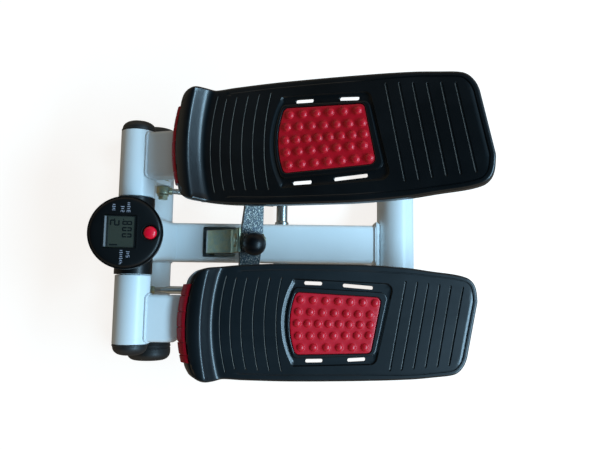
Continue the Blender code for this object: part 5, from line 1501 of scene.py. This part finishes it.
    # display: plain numbers. The reader stands on the pedals, so text runs to the user's right (-x) and its top is to the front
    bm = bmesh.new()
    turn = Matrix(((-1, 0, 0, 0), (0, -1, 0, 0), (0, 0, 1, 0), (0, 0, 0, 1)))
    z0, z1 = 11.62, 11.74
    for i, ch in enumerate("008"):
        add_digit(bm, ch, (-5.1 + i * 6.1, -6.3), 4.2, 9.4, 1.35, z0, z1, turn)
    add_digit(bm, "2", (6.3, 5.6), 5.9, 9.2, 1.35, z0, z1, turn)
    bmesh.ops.transform(bm, matrix=turn, verts=add_prism(bm, rect(-13.0, -11.6, 7.0, 14.6, 0.3, 2), z0, z1))
    for a, b in ((12.6, 10.6), (12.6, 2.0)):
        bmesh.ops.transform(bm, matrix=turn, verts=add_prism(bm, rect(a - 0.7, a + 0.7, b - 0.5, b + 0.5, 0.2, 2), z0, z1))
    piece("lcd_digits", bm, MATS["segments"], "frame", CONSOLE, (), 30.0)
    bm = bmesh.new()
    o, i_ = rect(-16.1, 14.9, -16.95, 10.9, 0.9, 4), rect(-15.5, 14.5, -16.1, 8.6, 0.5, 4)
    add_loft(bm, [[Vector((p.x, p.y, z)) for p in q] for q, z in ((o, 11.63), (o, 12.3), (i_, 12.1), (i_, 11.63))], True, False)
    piece("lcd_mask", bm, MATS["console"], "frame", CONSOLE, (), 30.0)
    # plain numbers and bars printed beside the window
    bm = bmesh.new()

    def surface(x, y):
        r = math.hypot(x, y)
        tab = [(0, 14.5), (6, 14.5), (12, 14.45), (20, 14.35), (27, 14.15), (31, 13.95), (32.4, 13.75), (33.4, 13.35)]
        for (r0, z_0), (r1, z_1) in zip(tab[:-1], tab[1:]):
            if r <= r1:
                return z_0 + (z_1 - z_0) * (r - r0) / (r1 - r0)
        return 13.0

    def mark(ch, x, y, bars, h=3.3):
        """A number and a row of thin bars, which run from (x, y) to the user's right, each laid on the cover's crown."""
        at = Matrix.Translation((x - 1.0, y, surface(x - 1.0, y) + 0.02)) @ turn
        add_digit(bm, ch, (-1.0, -h / 2), 2.1, h, 0.42, -0.35, 0.04, at)
        for k in range(bars):
            xk = x - 3.6 - k * 1.9
            at = Matrix.Translation((xk, y, surface(xk, y) + 0.02))
            k_h = h * (0.5 if k % 3 == 1 else 0.36)
            vs = add_prism(bm, rect(-0.3, 0.3, -k_h, k_h, 0.15, 2), -0.35, 0.04)
            bmesh.ops.transform(bm, matrix=at, verts=vs)
    mark("1", -19.4, -11.3, 3)
    mark("2", -19.4, -3.0, 2)
    mark("3", -19.4, 2.7, 4)
    mark("4", 31.0, -2.6, 6)
    mark("5", 24.6, 3.8, 2)
    piece("counter_marks", bm, MATS["print"], "frame", CONSOLE, (), 30.0)
    # bezel ring and domed button
    bm = bmesh.new()
    prof = [(7.45, 12.0), (7.45, 14.2), (7.7, 14.7), (8.3, 14.9), (9.0, 14.75), (9.35, 14.3), (9.35, 13.4), (8.6, 13.0), (8.6, 12.0)]
    add_lathe(bm, prof, 72, Matrix.Translation((0, 24.0, 0)), True)
    piece("button_bezel", bm, MATS["console"], "frame", CONSOLE, (), 35.0)
    bm = bmesh.new()
    prof = [(0.0, 8.8), (6.2, 8.8), (6.4, 9.0), (6.4, 13.6), (6.35, 14.0), (6.2, 14.4)]
    for i in range(1, 14):
        a = math.radians(90.0 * i / 14)
        prof.append((6.2 * math.cos(a), 14.4 + 2.9 * math.sin(a)))
    prof.append((0.0, 17.3))
    add_lathe(bm, prof, 64, Matrix.Translation((0, 24.0, 0)))
    piece("button_cap", bm, MATS["button"], "button", CONSOLE, "mode_button", 35.0)
    # battery cover with its coin slot
    bm = bmesh.new()
    add_lathe(bm, [tuple(p) for p in rounded([(0, -0.3), (12.0, -0.3, 0.2), (12.0, -1.1, 0.4), (11.2, -1.7, 0.4), (0, -1.7)], False, 3)], 56,
              Matrix.Translation((0, -22.0, 0)))
    t0 = bmesh.new()
    add_prism(t0, rect(-7.0, 7.0, -23.0, -21.0, 0.9, 4), -3.0, -0.9)
    piece("battery_lid", bm, MATS["console"], "frame", CONSOLE, "battery_cover", 28.0,
          mods=(('DIFFERENCE', tool(t0, CONSOLE)),))


build_frame()
build_console()
build_rocker()
for s_, sd_ in SIDES:
    build_pedal(s_, sd_)

# CAD solids that stay: sealed inner pieces, with their own finishes
for nm, mt in (("axle_shaft", "steel"), ("axle_end_screw_left", "zinc"), ("axle_end_screw_right", "zinc"),
               ("sleeve_bush_left", "nylon"), ("sleeve_bush_right", "nylon"), ("circuit_board", "board"), ("battery_cell", "steel")):
    ob = NODES[nm]
    ob.data.materials.clear()
    ob.data.materials.append(MATS[mt])

for t_ in TOOLS:
    bpy.data.objects.remove(t_)

# ------------------------------------------------------------------ floor, lights, camera
bm = bmesh.new()
N = 24
grid = [[bm.verts.new(((i / N - 0.5) * 9.0, (j / N - 0.5) * 9.0, -0.0002)) for i in range(N + 1)] for j in range(N + 1)]
for j in range(N):
    for i in range(N):
        bm.faces.new((grid[j][i], grid[j][i + 1], grid[j + 1][i + 1], grid[j + 1][i]))
me = bpy.data.meshes.new("studio_floor")
bm.to_mesh(me)
bm.free()
floor = bpy.data.objects.new("studio_floor", me)
me.materials.append(MATS["floor"])
bpy.context.scene.collection.objects.link(floor)
floor.visible_diffuse = False
floor.visible_glossy = False
floor.visible_shadow = False


def area(name, loc, target, sx, sy, power, color):
    data = bpy.data.lights.new(name, 'AREA')
    data.shape, data.size, data.size_y = 'RECTANGLE', sx, sy
    data.energy, data.color = power, color
    ob = bpy.data.objects.new(name, data)
    ob.location = loc
    ob.rotation_mode = 'QUATERNION'
    ob.rotation_quaternion = (Vector(target) - Vector(loc)).to_track_quat('-Z', 'Y')
    bpy.context.scene.collection.objects.link(ob)
    return ob


# one wide window behind the user, in a dim warm room
area("window_light", (0.30, 1.80, 1.60), (0, 0.0, 0.05), 2.2, 0.56, 87.0, (0.46, 0.75, 0.98))

world = bpy.data.worlds.new("studio")
bpy.context.scene.world = world
world.use_nodes = True
nt = world.node_tree
bg = nt.nodes["Background"]
geo = nt.nodes.new("ShaderNodeTexCoord")
sepw = nt.nodes.new("ShaderNodeSeparateXYZ")
nt.links.new(geo.outputs["Generated"], sepw.inputs[0])


def sky(socket, lo, hi, stops):
    """Colour ramp of a component of the view direction."""
    mp = nt.nodes.new("ShaderNodeMapRange")
    mp.inputs["From Min"].default_value = lo
    mp.inputs["From Max"].default_value = hi
    nt.links.new(socket, mp.inputs["Value"])
    rp = nt.nodes.new("ShaderNodeValToRGB")
    nt.links.new(mp.outputs["Result"], rp.inputs["Fac"])
    els = rp.color_ramp.elements
    while len(els) < len(stops):
        els.new(0.5)
    for el, (pos, col) in zip(els, stops):
        el.position = (pos - lo) / (hi - lo)
        el.color = (*col, 1.0)
    return rp.outputs["Color"]


front_sky = sky(sepw.outputs["Z"], -1.0, 1.0, [(-1.0, (0.15, 0.125, 0.10)), (-0.05, (0.24, 0.20, 0.15)), (0.08, (0.40, 0.35, 0.27)),
                                               (0.46, (0.22, 0.195, 0.15)), (0.62, (0.05, 0.045, 0.038)), (0.74, (0.012, 0.015, 0.016)),
                                               (0.93, (0.010, 0.022, 0.033)), (1.0, (0.024, 0.074, 0.115))])
flank_sky = sky(sepw.outputs["Z"], -1.0, 1.0, [(-1.0, (0.15, 0.125, 0.10)), (-0.05, (0.26, 0.22, 0.17)), (0.10, (0.62, 0.54, 0.42)),
                                               (0.62, (0.44, 0.385, 0.30)), (0.80, (0.12, 0.11, 0.09)), (1.0, (0.035, 0.10, 0.155))])
rear_sky = sky(sepw.outputs["Z"], -1.0, 1.0, [(-1.0, (0.15, 0.125, 0.10)), (-0.45, (0.20, 0.21, 0.20)), (-0.10, (0.34, 0.48, 0.62)),
                                              (0.10, (0.36, 0.55, 0.75)), (0.45, (0.26, 0.40, 0.54)), (0.70, (0.20, 0.32, 0.43)),
                                              (0.90, (0.31, 0.51, 0.68)), (0.975, (0.125, 0.25, 0.365)), (1.0, (0.045, 0.125, 0.20))])
side_fac = sky(sepw.outputs["Y"], -1.0, 1.0, [(-1.0, (0.0, 0.0, 0.0)), (-0.06, (0.0, 0.0, 0.0)), (0.10, (0.75, 0.75, 0.75)),
                                              (0.30, (1.0, 1.0, 1.0)), (1.0, (1.0, 1.0, 1.0))])
absx = nt.nodes.new("ShaderNodeMath")
absx.operation = 'ABSOLUTE'
nt.links.new(sepw.outputs["X"], absx.inputs[0])
flank_fac = sky(absx.outputs[0], 0.0, 1.0, [(0.0, (0.0, 0.0, 0.0)), (0.40, (0.0, 0.0, 0.0)), (0.72, (1.0, 1.0, 1.0)), (1.0, (1.0, 1.0, 1.0))])
mixw = nt.nodes.new("ShaderNodeMix")
mixw.data_type = 'RGBA'
nt.links.new(side_fac, mixw.inputs[0])
nt.links.new(front_sky, mixw.inputs[6])
nt.links.new(rear_sky, mixw.inputs[7])
mixf = nt.nodes.new("ShaderNodeMix")
mixf.data_type = 'RGBA'
nt.links.new(flank_fac, mixf.inputs[0])
nt.links.new(mixw.outputs[2], mixf.inputs[6])
nt.links.new(flank_sky, mixf.inputs[7])
nt.links.new(mixf.outputs[2], bg.inputs["Color"])
bg.inputs["Strength"].default_value = 1.0

cam_data = bpy.data.cameras.new("camera")
cam = bpy.data.objects.new("camera", cam_data)
bpy.context.scene.collection.objects.link(cam)
cam_data.lens, cam_data.sensor_width, cam_data.clip_start, cam_data.clip_end = 36.0, 36.0, 0.01, 50.0
w_ = Vector((-5.5e-6, 6.482, 0.8014))
Rw = Matrix.Rotation(math.radians(w_.length), 3, w_.normalized())
base_ = Matrix(((0, 1, 0), (1, 0, 0), (0, 0, -1)))
R_ = base_ @ Rw.transposed()
right_, down_, fwd_ = R_[0], R_[1], R_[2]
M_ = Matrix((right_, -down_, -fwd_)).transposed().to_4x4()
M_.translation = (Vector((53.314, 162.505, 586.352)) * 1.06 + Vector((0, -162.403, 103.0))) * MM
cam.matrix_world = M_
bpy.context.scene.camera = cam
bpy.context.scene.view_settings.view_transform = 'Standard'
bpy.context.scene.view_settings.look = 'None'
bpy.context.scene.view_settings.exposure = 0.0
